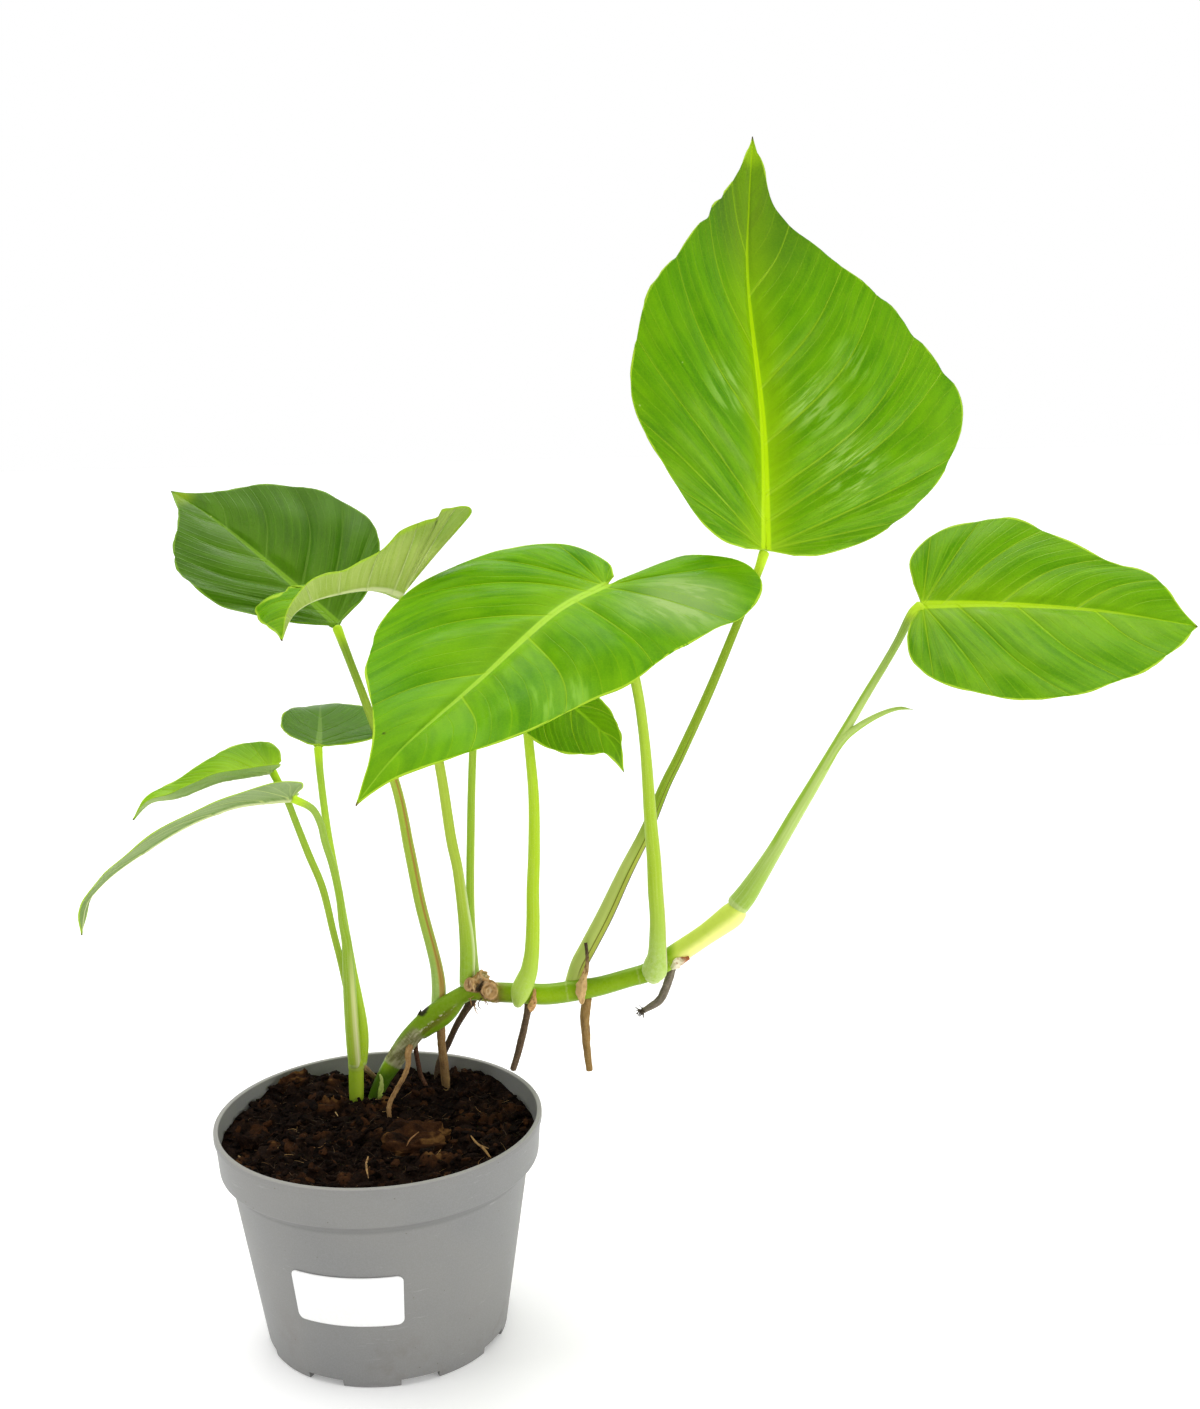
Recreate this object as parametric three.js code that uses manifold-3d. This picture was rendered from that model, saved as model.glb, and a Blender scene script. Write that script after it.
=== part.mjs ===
// A potted monstera sierrana: a creeping stem with seven leaves and a side shoot with three more, in a
// nursery pot of bark and coir. Millimetres, +Z up, the origin at the centre of the pot's underside.
// The front of the plant, with the pot's label, faces -Y.

import * as THREE from 'three';
import { mergeVertices } from 'three/addons/utils/BufferGeometryUtils.js';
import Module from 'manifold-3d';

const wasm = await Module();
wasm.setup();

// Driving dimensions

const GAP = 0.3; // clearance between pieces that touch

const POT_HEIGHT = 106;
const RIM_RADIUS = 76; // a 6 inch pot
const LIP_HEIGHT = 3;
const LIP_PROUD = 0.7;
const BAND_FOOT_RADIUS = 74; // the straight band below the rim ends here
const BAND_FOOT_HEIGHT = 87;
const BODY_TOP_RADIUS = 69;
const BODY_TOP_HEIGHT = 82.5;
const STEP_OUT = 1.6; // the small rounded step between the body and the band
const STEP_UP = 2.6;
const BASE_RADIUS = 56.2;
const WALL = 1.5;
const FLOOR_UNDER = 3; // the floor stands this high, on a foot ring
const FLOOR_THICK = 1.8;
const FOOT_RING_WIDTH = 3.6;
const ROUND_SEGMENTS = 48;

const NOTCH_HEIGHT = 3.4;
const NOTCH_COUNT = 8;
const NOTCH_ANGLE = 18; // degrees of the ring that a notch takes
const NOTCH_FIRST = 246; // where the first one is, in degrees from +X
const DRAIN_COUNT = 8;
const DRAIN_RADIUS = 4.5;
const DRAIN_CIRCLE = 38;
const DRAIN_SIDES = 12;

const LABEL_WIDTH = 50.8; // a 2 by 1 inch sticker
const LABEL_HEIGHT = 25.4;
const LABEL_CORNER = 3;
const LABEL_THICK = 0.35;
const LABEL_STANDOFF = 0.12; // clears the flats of the round wall
const LABEL_MIDDLE_ANGLE = 261;
const LABEL_MIDDLE_HEIGHT = 46.3;

const SOIL_LEVEL = 95;
const SOIL_RINGS = 7;
const SOIL_SEED = 7;
const CHIP_COUNT = 18;
const CHIP_SIZES = [[8, 16], [4, 9], [3, 5.5]]; // least and most for length, width and height
const CHIP_REACH = 62; // no chip's middle lies further out
const CHIP_TILT = 0.4;
const CHIP_SUNK = 0.4;

const BLADE_THICK = 0.9;
const KEEL_AT_BASE = 1.5; // how far the midrib stands out below the blade
const KEEL_AT_TIP = 0.2;
const KEEL_REACH = 0.07; // its half width, as a share of the blade's half width
const ON_RIB = 1e-6; // a point closer than this is on the rib
const FAN_SHARE = 0.3; // the part of a blade's margin whose veins all start at the stalk
const VEIN_SPREAD = 1.1; // over 1 sets the veins' feet closer together near the stalk
const VEIN_BEND = 0.35; // how strongly the veins curve towards the tip
const LARGE_BLADE = { lines: 21, shares: [0, KEEL_REACH, 0.35, 0.68, 1] };
const SMALL_BLADE = { lines: 13, shares: [0, KEEL_REACH, 0.5, 1] };
const RIB_DIVISIONS = 400;

// Stems, stalks and roots. Each row is a point on the axis and the radius there.

const MAIN_STEM = [
  [-12, 41, 84, 3], [-7.7, 41, 95, 3.3], [-3.1, 41, 105, 3.8], [2.6, 42, 114, 4.5], [8.4, 43, 122.6, 4.8],
  [13.6, 44, 128.6, 4.9], [21.4, 45.5, 136.2, 4.6], [28.5, 47, 140.9, 4.4], [35.4, 49, 144.4, 4.3],
  [41, 50, 146.6, 4.4], [47, 51, 146.1, 4.7], [54, 51, 145.5, 4.9], [65, 52, 144.4, 5],
  [75, 52, 143.6, 5.2], [82.2, 53, 143.4, 5.2], [93.5, 54, 144.6, 5.2], [104.4, 54.5, 146.2, 4.8],
  [118.2, 55, 149.8, 4.6], [129.1, 56, 152.8, 4.8], [142.6, 57, 161.2, 5.3], [156.9, 57.5, 170.6, 5.3],
  [168.8, 58, 179.2, 6.2], [172.2, 58, 182.4, 5.6],
];
const ROOT_BULGE = [
  [17, 44.5, 127.6, 3], [25.5, 46, 133.4, 4], [30.6, 47, 137.1, 3.7], [36, 48.5, 142.5, 2.6],
];
// The knob's cut stubs: the left face, the papery block on top and the round scar in front
const CUT_STUBS = [
  [[44.5, 48, 150, 3.2], [41, 44.6, 152.4, 3.4]],
  [[42.5, 48.5, 150, 3], [48.4, 46, 156.2, 3.1]],
  [[50.2, 50, 147, 4.8], [50.8, 44, 149, 4.1]],
];
const TWIG_STUB = [[14.2, 44.5, 132, 1.1], [15.5, 44, 136.8, 0.8], [17, 43.8, 140.3, 0.4]];
const SIDE_STEM = [
  [-16.5, 36.3, 84, 3.2], [-15.7, 36.3, 95, 3.4], [-15.3, 36.3, 104, 3.6], [-15, 36.3, 112.5, 3.7],
  [-14.8, 36.3, 115.2, 4.2], [-14.4, 36.3, 118.5, 4],
];

const PETIOLES = {
  crown: [
    [90, 58, 143, 4.1], [94, 58.2, 155.6, 4.2], [99, 58.4, 165.1, 4.2], [107.9, 58.7, 181.8, 4.1],
    [118.1, 59.1, 203.1, 3.6], [128.5, 59.5, 223.2, 3.1], [137.9, 60.5, 245.2, 2.7], [146.2, 62.6, 261.2, 2.5],
    [160.3, 68.8, 289.5, 2.3], [174, 75.9, 319.7, 2.1], [185, 81.6, 344.8, 2.2], [188.6, 83.6, 354.5, 2.5],
  ],
  right: [
    [172.9, 58, 185.2, 5.6], [178.5, 58, 192.6, 5.2], [190, 58, 210.9, 3.9], [201, 58, 230, 3.5],
    [210.9, 58, 246.9, 3.1], [220.4, 58, 263.6, 2.6], [227.9, 58, 276.7, 2.3], [235.6, 58, 290, 2.1],
    [243.2, 58, 302.7, 2], [249.8, 58, 314.4, 2], [256, 58, 326.8, 2.3], [260.2, 58, 330.6, 2.8],
  ],
  front: [
    [130.4, 50.4, 151.3, 4], [130.9, 49.8, 154.2, 6.1], [131.8, 49.5, 158.7, 5.8], [132.7, 49, 165, 4.6],
    [133, 47, 182.2, 3.9], [132.2, 44.5, 198.1, 3.8], [131.6, 41.5, 214, 3.5], [130.1, 37, 235.4, 3.1],
    [127.8, 28.5, 274.3, 2.5], [123.9, 20, 305.2, 2.4], [115.5, 13.5, 340, 2.5], [111.6, 12.4, 348.6, 2.8],
  ],
  back: [
    [24.9, 51.5, 140.5, 3.6], [25.2, 53, 148.7, 3.5], [24.4, 54.3, 157.7, 3.1], [22.3, 55.2, 168.5, 2.9],
    [17.7, 56.5, 189.5, 2.8], [13.3, 58, 216.8, 2.7], [7.9, 60.5, 248.4, 2.4], [-4.9, 66, 287.1, 2.1],
    [-12.6, 73, 306.6, 2], [-19.8, 83.2, 322.6, 2.3],
  ],
  curled: [
    [39.2, 50.5, 150.5, 3.6], [39.7, 50.5, 157, 3.8], [40.1, 50.5, 166, 3.8], [39.9, 50.4, 176, 3.5],
    [38.8, 50, 190.1, 2.9], [37, 50, 209, 2.6], [34.3, 50, 225.6, 2.6], [30.2, 51.5, 260.6, 2.4],
    [22.6, 57, 301, 2.1], [15.8, 61.6, 338.2, 2.3],
  ],
  tucked: [
    [64, 46.3, 140.8, 2.2], [64.8, 45.4, 144.4, 4], [66, 45, 148.6, 4.9], [68.1, 45, 153.3, 4.8],
    [70, 45, 158, 4.3], [71.1, 44.6, 163.5, 3.9], [72, 44.1, 170, 3.6], [72.9, 43.4, 185, 3.3],
    [73.3, 42.8, 200, 3.1], [74.5, 42, 220, 2.9], [75.1, 41, 247.3, 2.6], [73.4, 40.5, 276.6, 2.3],
    [71.2, 40.2, 311.6, 2.3],
  ],
  hidden: [
    [44.3, 56.4, 147, 2.3], [42.6, 57.2, 157.6, 2.3], [41.9, 58, 188.4, 2.1], [43.7, 58, 230.2, 2.0],
    [45.6, 59, 262.5, 1.9], [49.8, 60, 317.6, 2.0],
  ],
  shoot_right: [
    [-12.4, 36.6, 116.5, 2.8], [-11.5, 36.6, 123, 3], [-11.2, 36.9, 130, 3.1], [-11.4, 37.3, 137, 2.9],
    [-12.6, 37.9, 147, 2.7], [-14.6, 38.9, 161, 2.4], [-16.3, 40.2, 174.8, 2.1], [-18.2, 42.2, 188.3, 2],
    [-20, 44.4, 201.7, 1.8], [-24.4, 48.5, 229.9, 1.8], [-27.3, 54, 255.8, 1.8], [-28.2, 57.5, 268.6, 2],
  ],
  shoot_upper: [
    [-13.6, 39.6, 120.5, 1.5], [-15.2, 40, 135, 1.6], [-17.8, 39.4, 152, 1.6], [-20, 39, 167.4, 1.7],
    [-22.8, 39.2, 182, 1.7], [-26.9, 39.8, 204, 1.8], [-33, 41, 221, 1.8], [-38.3, 42.4, 236.3, 1.7],
    [-41.9, 43.3, 246.7, 1.7], [-48.2, 44.8, 260.4, 1.9],
  ],
  shoot_lower: [
    [-15, 35, 116.5, 3.2], [-15.2, 34.2, 124, 3.5], [-15.4, 33.2, 138.4, 3.4], [-15.5, 32.5, 152.6, 3.2],
    [-15.4, 31.9, 162.2, 3], [-15.4, 31.3, 171.6, 2.7], [-15.5, 30.5, 181, 2.4], [-16.8, 29.6, 190.2, 1.9],
    [-17.2, 28.2, 202.7, 1.9], [-19.4, 26.9, 218.4, 1.8], [-22.2, 25, 231, 1.7], [-23.6, 23.6, 240.4, 1.7],
    [-27, 22.2, 248.2, 1.7], [-35.2, 20.2, 253.6, 1.9],
  ],
};

// The free pointed end of the sheath that wraps the youngest stalk
const SHEATH_TIP = [
  [214.4, 57.4, 253, 2.2], [223.2, 56.2, 266.6, 1.8], [230.8, 56, 273.4, 1.6], [240.8, 56, 279.1, 1.2],
  [249.7, 56, 282, 0.8], [256.9, 56, 281.4, 0.45],
];

const ROOTS = {
  black: [
    [43, 51, 144, 2.1], [34, 56, 128.6, 1.7], [27.7, 60, 115, 1.6], [22.4, 64, 102.7, 1.6],
    [20.5, 65.5, 88, 1.4],
  ],
  over_rim: [
    [69, 52, 141.5, 2], [68.1, 52.6, 133, 1.8], [63.6, 55, 114.5, 1.75], [60.1, 57.4, 102.5, 1.6],
  ],
  hanging: [[97.9, 54, 140, 2.5], [96.6, 53, 131.3, 2.5], [96.9, 52, 119.2, 2.1], [98.2, 51, 103.8, 1.6]],
  frayed: [[140.3, 57, 155, 2.1], [136.9, 57, 144, 2], [133.1, 57, 136.7, 2.1], [126, 57, 132.2, 1.3]],
  prop: [[26, 46.2, 131.5, 2.2], [26.2, 46, 119.7, 2.0], [26.9, 47, 108.8, 2.1], [27.2, 49.3, 95, 2.0],
    [27.6, 50, 86, 1.6]],
  thin_dark: [[13.6, 44, 126, 1.5], [13.3, 46, 119.5, 1.2], [13.9, 48, 111.3, 1.2], [15, 49, 103.7, 1.1],
    [18.5, 49.8, 94.6, 1.0], [20, 50, 87, 0.9]],
  curved_tan: [[11.4, 39.4, 123, 1.7], [10.6, 36, 120.6, 1.6], [10.8, 33, 116.5, 1.3], [8.9, 30, 111.6, 1.25],
    [5.3, 27, 106, 1.2], [1.8, 23, 99.1, 1.15], [2.8, 21.6, 88, 1]],
  side_shoot: [[-11.2, 39.5, 112.5, 1.4], [-8.6, 44, 107, 1.2], [-5.6, 48.5, 101, 1.1], [-3, 52, 88, 1.0]],
};

// Dry sheath remnants and a bud scale: flat pointed strips, with the half width in the last column
const SCALES = {
  scale_crown: [[95.5, 48.2, 139.5, 1.0], [95, 47.6, 147, 2.6], [96.6, 48.2, 153, 1.7], [98.5, 50, 160, 0.9],
    [97.9, 51, 170, 0.8]],
  scale_tucked: [
    [70.6, 47.2, 136.6, 0.9], [71, 46.5, 140.2, 2.2], [72, 46.6, 144.5, 1.2], [72.6, 47.2, 148.3, 0.5],
  ],
  scale_front: [[139.8, 51.2, 155.5, 1.1], [142.6, 50.6, 158.5, 2.4], [148.4, 51.6, 160.8, 0.8]],
  bud_scale: [
    [-5, 36.6, 92, 1.2], [-4.2, 36.4, 98, 1.2], [-3.2, 36.2, 103.5, 1.1], [-2.8, 36.4, 107.5, 0.8],
    [-3.6, 36.6, 110.3, 0.4],
  ],
};

// Leaf blades. The rib runs from the stalk to the tip, up is the way the upper face looks, and fold is
// how far each half is raised, in degrees. A margin's points are the distance along the rib, negative
// in the lobes behind the stalk, and the distance out from it, on the left and right as seen from above.

const LEAVES = {
  crown: {
    rib: [[189, 84, 356], [189, 96, 415], [184, 116, 482], [186, 130, 523], [189, 140, 554]],
    up: [0.46, -0.85, 0.29], fold: [18, 18], curl: 0.004,
    left: [[0, 14], [4, 30], [16, 47], [38, 64], [62, 77], [82, 78], [117, 65], [140, 43], [160, 27],
      [179, 12], [194, 5]],
    right: [[-3, 15], [-2, 32], [9, 62], [36, 97], [70, 116], [97, 98], [127, 72], [151, 43], [171, 16],
      [194, 6]],
  },
  right: {
    rib: [[261, 58, 331], [297, 54, 331], [342, 48, 328], [386, 40, 321]],
    up: [0, -0.72, 0.7], fold: [10, 10], curl: 0.003,
    left: [[-4, 12], [-5, 25], [5, 38], [20, 45], [42, 48], [65, 38], [85, 28], [103, 24], [118, 9]],
    right: [[-6, 11], [-8, 22], [-5, 36], [10, 49], [37, 56], [69, 53], [99, 37], [115, 21]],
  },
  front: {
    rib: [[111, 12, 350], [88, -10, 341], [56, -45, 318], [27, -80, 298], [10, -96, 280]],
    up: [-0.2, -0.48, 0.85], fold: [8, 8], curl: 0.004,
    left: [[-14, 3], [-29, 6], [-44, 11], [-52, 35], [-42, 56], [-15, 68], [5, 65], [54, 63], [76, 54],
      [106, 43], [127, 30], [146, 11], [156, 4]],
    right: [[-9, 3], [-16, 14], [-16, 38], [-5, 55], [14, 65], [39, 77], [65, 73], [95, 54], [110, 39],
      [130, 19], [145, 9], [156, 4]],
  },
  back: {
    rib: [[-20, 84, 324], [-46, 103, 344], [-83, 129, 370], [-111, 146, 386]],
    up: [0.1, -0.63, 0.77], fold: [10, 10], curl: 0.004,
    left: [[6, 9], [15, 19], [34, 33], [55, 39], [75, 38], [92, 29], [106, 14], [116, 6]],
    right: [[2, 9], [4, 21], [20, 44], [41, 56], [70, 51], [94, 33], [104, 18], [116, 6]],
  },
  curled: {
    rib: [[15, 62, 341], [8, 61, 344], [-3, 59, 345], [-18, 55, 343], [-28, 52, 340], [-36, 49, 334],
      [-41, 47, 323]],
    up: [0.1, 0.5, 0.85], upAtTip: [-0.8, -0.5, 0.4], fold: [38, 12], curl: 0.006,
    left: [[-10, 43], [-13, 57], [-12, 62], [-9, 63], [-5, 60], [0, 54], [4.5, 45], [8, 34],
      [13, 23.5], [26, 15.5], [36, 18.5], [43, 21], [51, 14], [61, 4]],
    right: [[-4, 5], [-4, 12], [4, 17], [16, 20], [28, 21], [39, 19], [44, 26], [47, 36], [51, 24],
      [55, 30], [60, 41], [64, 25], [65, 14], [66, 6]],
  },
  tucked: {
    rib: [[71, 40, 313], [84, 37, 301], [96, 34, 290], [112, 29, 275], [118, 26, 261]],
    up: [0.3, -0.7, 0.65], fold: [10, 10], curl: 0.004, small: true,
    left: [[-8, 6], [-13, 14], [-6, 24], [12, 22], [27, 15], [38, 13], [48, 11], [56, 7], [63, 3]],
    right: [[-8, 6], [-14, 16], [-8, 30], [8, 35], [26, 31], [40, 28], [53, 18], [62, 6]],
  },
  hidden: {
    rib: [[50, 60, 319], [61, 82, 323], [69, 103, 321], [73, 116, 315]],
    up: [-0.1, -0.2, 1], fold: [10, 10], curl: 0.006, small: true,
    left: [[-8, 5], [-12, 14], [-4, 24], [12, 25], [28, 20], [44, 12], [55, 4]],
    right: [[-8, 5], [-12, 14], [-4, 24], [12, 25], [28, 20], [44, 12], [55, 4]],
  },
  shoot_right: {
    rib: [[-28, 58, 270], [-30, 77, 273], [-33, 100, 278], [-35, 116, 278]],
    up: [0, -0.4, 0.92], fold: [8, 8], curl: 0.004, small: true,
    left: [[1, 5], [8, 12], [20, 18], [34, 19], [46, 15], [54, 8]],
    right: [[-4, 5], [-5, 14], [-4, 24], [3, 31], [17, 31], [35, 25], [46, 14], [54, 6]],
  },
  shoot_upper: {
    rib: [[-49, 45, 261], [-62, 44, 259], [-74, 43, 257], [-93, 42, 250], [-106, 41, 248], [-115, 40, 240]],
    up: [0, -0.11, 0.99], fold: [30, 20], curl: 0.001, small: true,
    left: [[-5, 6], [-6, 13], [4, 17], [21, 19], [41, 15], [55, 9], [64, 4]],
    right: [[-5, 6], [-4, 15], [1, 22], [8, 25], [16, 25], [29, 20], [43, 15], [55, 9], [64, 4]],
  },
  shoot_lower: {
    rib: [[-36, 20, 254], [-58, 19, 252], [-72, 18, 248], [-86, 17, 242], [-103, 16, 232], [-118, 15, 222],
      [-127, 14, 214], [-133, 14, 206], [-136, 14, 192]],
    up: [0, 0.3, 0.95], upAtTip: [0, 0.05, 1], fold: [10, 10], curl: 0.003, small: true,
    left: [[-5, 10], [-9, 20], [-10, 34], [-2, 41], [10, 35], [24, 25], [43, 20], [60, 21], [75, 19],
      [93, 13], [106, 6], [118, 3]],
    right: [[-2, 10], [-1, 20], [6, 29], [24, 30], [45, 27], [66, 22], [88, 14], [106, 6], [118, 3]],
  },
};

// Helpers

const vector = ([x, y, z]) => new THREE.Vector3(x, y, z);

function smoothPath(points) {
  return new THREE.CatmullRomCurve3(points.map(vector), false, 'catmullrom', 0.5);
}

// A small repeatable random source, from 0 to 1
function seededRandom(seed) {
  let state = seed >>> 0;
  return () => {
    state = (state + 0x6d2b79f5) >>> 0;
    let mixed = Math.imul(state ^ (state >>> 15), 1 | state);
    mixed = (mixed + Math.imul(mixed ^ (mixed >>> 7), 61 | mixed)) ^ mixed;
    return ((mixed ^ (mixed >>> 14)) >>> 0) / 4294967296;
  };
}

// Joins the like corners of a closed geometry into one solid whose faces point out
function solidFrom(geometry) {
  const bare = geometry.index ? geometry.toNonIndexed() : geometry.clone();
  for (const name of Object.keys(bare.attributes)) if (name !== 'position') bare.deleteAttribute(name);
  const merged = mergeVertices(bare, 1e-3);
  const position = merged.attributes.position;
  const corner = (index) => new THREE.Vector3().fromBufferAttribute(position, index);
  const triangles = [];
  let volume = 0;
  for (let k = 0; k < merged.index.count; k += 3) {
    const [a, b, c] = [0, 1, 2].map((step) => merged.index.getX(k + step));
    if (a === b || b === c || c === a) continue;
    triangles.push(a, b, c);
    volume += corner(a).dot(corner(b).cross(corner(c)));
  }
  if (volume < 0) triangles.reverse();
  return new wasm.Manifold(new wasm.Mesh({
    numProp: 3,
    vertProperties: new Float32Array(position.array),
    triVerts: new Uint32Array(triangles),
  }));
}

function solidFromFaces(points, triangles) {
  const geometry = new THREE.BufferGeometry();
  geometry.setAttribute('position', new THREE.Float32BufferAttribute(points.flat(), 3));
  geometry.setIndex(triangles);
  return solidFrom(geometry);
}

function largestPiece(solid) {
  const pieces = solid.decompose();
  return pieces.reduce((best, piece) => (piece.volume() > best.volume() ? piece : best));
}

function cutBy(solid, cutters) {
  return largestPiece(cutters.reduce((rest, cutter) => rest.subtract(cutter), solid));
}

// The two triangles of each square of a grid, where grid[i][j] is a point's number
function gridTriangles(grid, flipped) {
  const triangles = [];
  for (let i = 0; i + 1 < grid.length; i++) {
    for (let j = 0; j + 1 < grid[i].length; j++) {
      const [a, b, c, d] = [grid[i][j], grid[i + 1][j], grid[i + 1][j + 1], grid[i][j + 1]];
      triangles.push(...(flipped ? [a, c, b, a, d, c] : [a, b, c, a, c, d]));
    }
  }
  return triangles;
}

// A closed tube along rows of x, y, z and radius. flat squeezes it along the way it faces.
function tubeSolid(rows, { sides = 8, steps = 2, grow = 0, flat = 1, facing = [0, -1, 0] } = {}) {
  const path = smoothPath(rows);
  const ringCount = steps * (rows.length - 1);
  const points = [];
  const rings = [];
  for (let i = 0; i <= ringCount; i++) {
    const along = i / ringCount;
    const row = Math.min(Math.floor(along * (rows.length - 1)), rows.length - 2);
    const radius = THREE.MathUtils.lerp(rows[row][3], rows[row + 1][3], along * (rows.length - 1) - row);
    const centre = path.getPoint(along);
    const ahead = path.getTangent(along);
    const front = vector(facing).addScaledVector(ahead, -vector(facing).dot(ahead)).normalize();
    const side = new THREE.Vector3().crossVectors(ahead, front);
    const ring = [];
    for (let k = 0; k < sides; k++) {
      const turn = (2 * Math.PI * k) / sides;
      const point = centre.clone()
        .addScaledVector(front, Math.cos(turn) * (radius * flat + grow))
        .addScaledVector(side, Math.sin(turn) * (radius + grow));
      ring.push(points.push(point.toArray()) - 1);
    }
    rings.push([...ring, ring[0]]);
    if (i === 0 || i === ringCount) {
      const outward = (i === 0 ? -0.5 : 0.5) * (radius * flat + grow);
      const pole = points.push(centre.addScaledVector(ahead, outward).toArray()) - 1;
      rings.push(Array(sides + 1).fill(pole));
    }
  }
  const [firstRing, firstPole] = rings.splice(0, 2);
  rings.unshift(firstPole, firstRing);
  return solidFromFaces(points, gridTriangles(rings, false));
}

// The pot

function turnedSolid(profile) {
  const outline = [...profile, profile[0]].map(([radius, height]) => new THREE.Vector2(radius, height));
  return solidFrom(new THREE.LatheGeometry(outline, ROUND_SEGMENTS).rotateX(Math.PI / 2));
}

function bodyRadius(height) {
  return THREE.MathUtils.lerp(BASE_RADIUS, BODY_TOP_RADIUS, height / BODY_TOP_HEIGHT);
}

// The inside of the wall from the floor to a height, moved inwards by a clearance
function insideProfile(clearance, top) {
  const floorTop = FLOOR_UNDER + FLOOR_THICK;
  const inwards = WALL + clearance;
  const raised = 1; // the step lies this much higher inside the wall than outside
  const bandSlope = (RIM_RADIUS - LIP_PROUD - BAND_FOOT_RADIUS) / (POT_HEIGHT - BAND_FOOT_HEIGHT);
  return [
    [bodyRadius(floorTop) - inwards, floorTop + clearance],
    [BODY_TOP_RADIUS - inwards, BODY_TOP_HEIGHT + raised],
    [BAND_FOOT_RADIUS - inwards, BAND_FOOT_HEIGHT + raised],
    [BAND_FOOT_RADIUS - inwards + (top - BAND_FOOT_HEIGHT - raised) * bandSlope, top],
  ];
}

function buildPot() {
  const outside = [
    [0, FLOOR_UNDER],
    [BASE_RADIUS - FOOT_RING_WIDTH, FLOOR_UNDER],
    [BASE_RADIUS - FOOT_RING_WIDTH, 0],
    [BASE_RADIUS, 0],
    [BODY_TOP_RADIUS, BODY_TOP_HEIGHT],
    [BODY_TOP_RADIUS + STEP_OUT, BODY_TOP_HEIGHT + STEP_UP],
    [BAND_FOOT_RADIUS, BAND_FOOT_HEIGHT],
    [RIM_RADIUS - LIP_PROUD, POT_HEIGHT - LIP_HEIGHT],
    [RIM_RADIUS, POT_HEIGHT - LIP_HEIGHT],
    [RIM_RADIUS, POT_HEIGHT],
  ];
  const inside = insideProfile(0, POT_HEIGHT).reverse();
  const pot = turnedSolid([...outside, ...inside, [0, FLOOR_UNDER + FLOOR_THICK]]);
  const cutters = [];
  const notchWidth = 2 * BASE_RADIUS * Math.tan(THREE.MathUtils.degToRad(NOTCH_ANGLE / 2));
  for (let k = 0; k < NOTCH_COUNT; k++) {
    const angle = THREE.MathUtils.degToRad(NOTCH_FIRST + (360 * k) / NOTCH_COUNT);
    const notch = new THREE.BoxGeometry(4 * FOOT_RING_WIDTH, notchWidth, 2 * NOTCH_HEIGHT);
    cutters.push(solidFrom(notch.translate(BASE_RADIUS, 0, 0).rotateZ(angle)));
  }
  for (let k = 0; k < DRAIN_COUNT; k++) {
    const angle = (2 * Math.PI * k) / DRAIN_COUNT;
    const drain = new THREE.CylinderGeometry(DRAIN_RADIUS, DRAIN_RADIUS, 4 * FLOOR_THICK, DRAIN_SIDES);
    drain.rotateX(Math.PI / 2).translate(DRAIN_CIRCLE, 0, FLOOR_UNDER).rotateZ(angle);
    cutters.push(solidFrom(drain));
  }
  return cutBy(pot, cutters);
}

// A sheet bent round the tapered wall, with rounded corners. Its columns are closer at the corners.
function buildLabel() {
  const halfWidth = LABEL_WIDTH / 2;
  const cornerColumns = [0, 0.15, 0.45, 1].map((share) => halfWidth - LABEL_CORNER * share);
  const middleColumns = [0.75, 0.5, 0.25, 0].map((share) => share * (halfWidth - LABEL_CORNER));
  const rightHalf = [...cornerColumns, ...middleColumns];
  const columns = [...rightHalf.map((x) => -x), ...rightHalf.slice(0, -1).reverse()];
  const points = [];
  const faces = [0, LABEL_THICK].map((outwards) => columns.map((x) => {
    const past = Math.max(0, Math.abs(x) - (halfWidth - LABEL_CORNER));
    const halfHeight = LABEL_HEIGHT / 2 - LABEL_CORNER + Math.sqrt(LABEL_CORNER ** 2 - past ** 2);
    return [-1, -0.4, 0.4, 1].map((share) => {
      const height = LABEL_MIDDLE_HEIGHT + share * halfHeight;
      const radius = bodyRadius(height) + LABEL_STANDOFF + outwards;
      const angle = THREE.MathUtils.degToRad(LABEL_MIDDLE_ANGLE) + x / bodyRadius(LABEL_MIDDLE_HEIGHT);
      return points.push([radius * Math.cos(angle), radius * Math.sin(angle), height]) - 1;
    });
  }));
  return solidFromFaces(points, sheetTriangles(faces[1], faces[0]));
}

// Closes the space between two like grids of points
function sheetTriangles(upper, lower) {
  const last = upper.length - 1;
  const far = upper[0].length - 1;
  const column = (grid, j) => grid.map((row) => row[j]);
  return [
    ...gridTriangles(upper, false),
    ...gridTriangles(lower, true),
    ...gridTriangles([lower[0], upper[0]], false),
    ...gridTriangles([upper[last], lower[last]], false),
    ...gridTriangles([column(upper, 0), column(lower, 0)], false),
    ...gridTriangles([column(lower, far), column(upper, far)], false),
  ];
}

// The soil: the pot's inside with an uneven top, and bark chips sunk into it

// Two layers of waves, wide and low, then short and broken
function soilHeight(x, y) {
  const swell = 1.1 * Math.sin(x / 17 + 1.3) * Math.cos(y / 21 - 0.4);
  const lumps = 0.9 * Math.sin(x / 6.1 + y / 9.3) * Math.sin(y / 5.3 - x / 12.7 + 2);
  return SOIL_LEVEL + swell + lumps;
}

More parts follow.
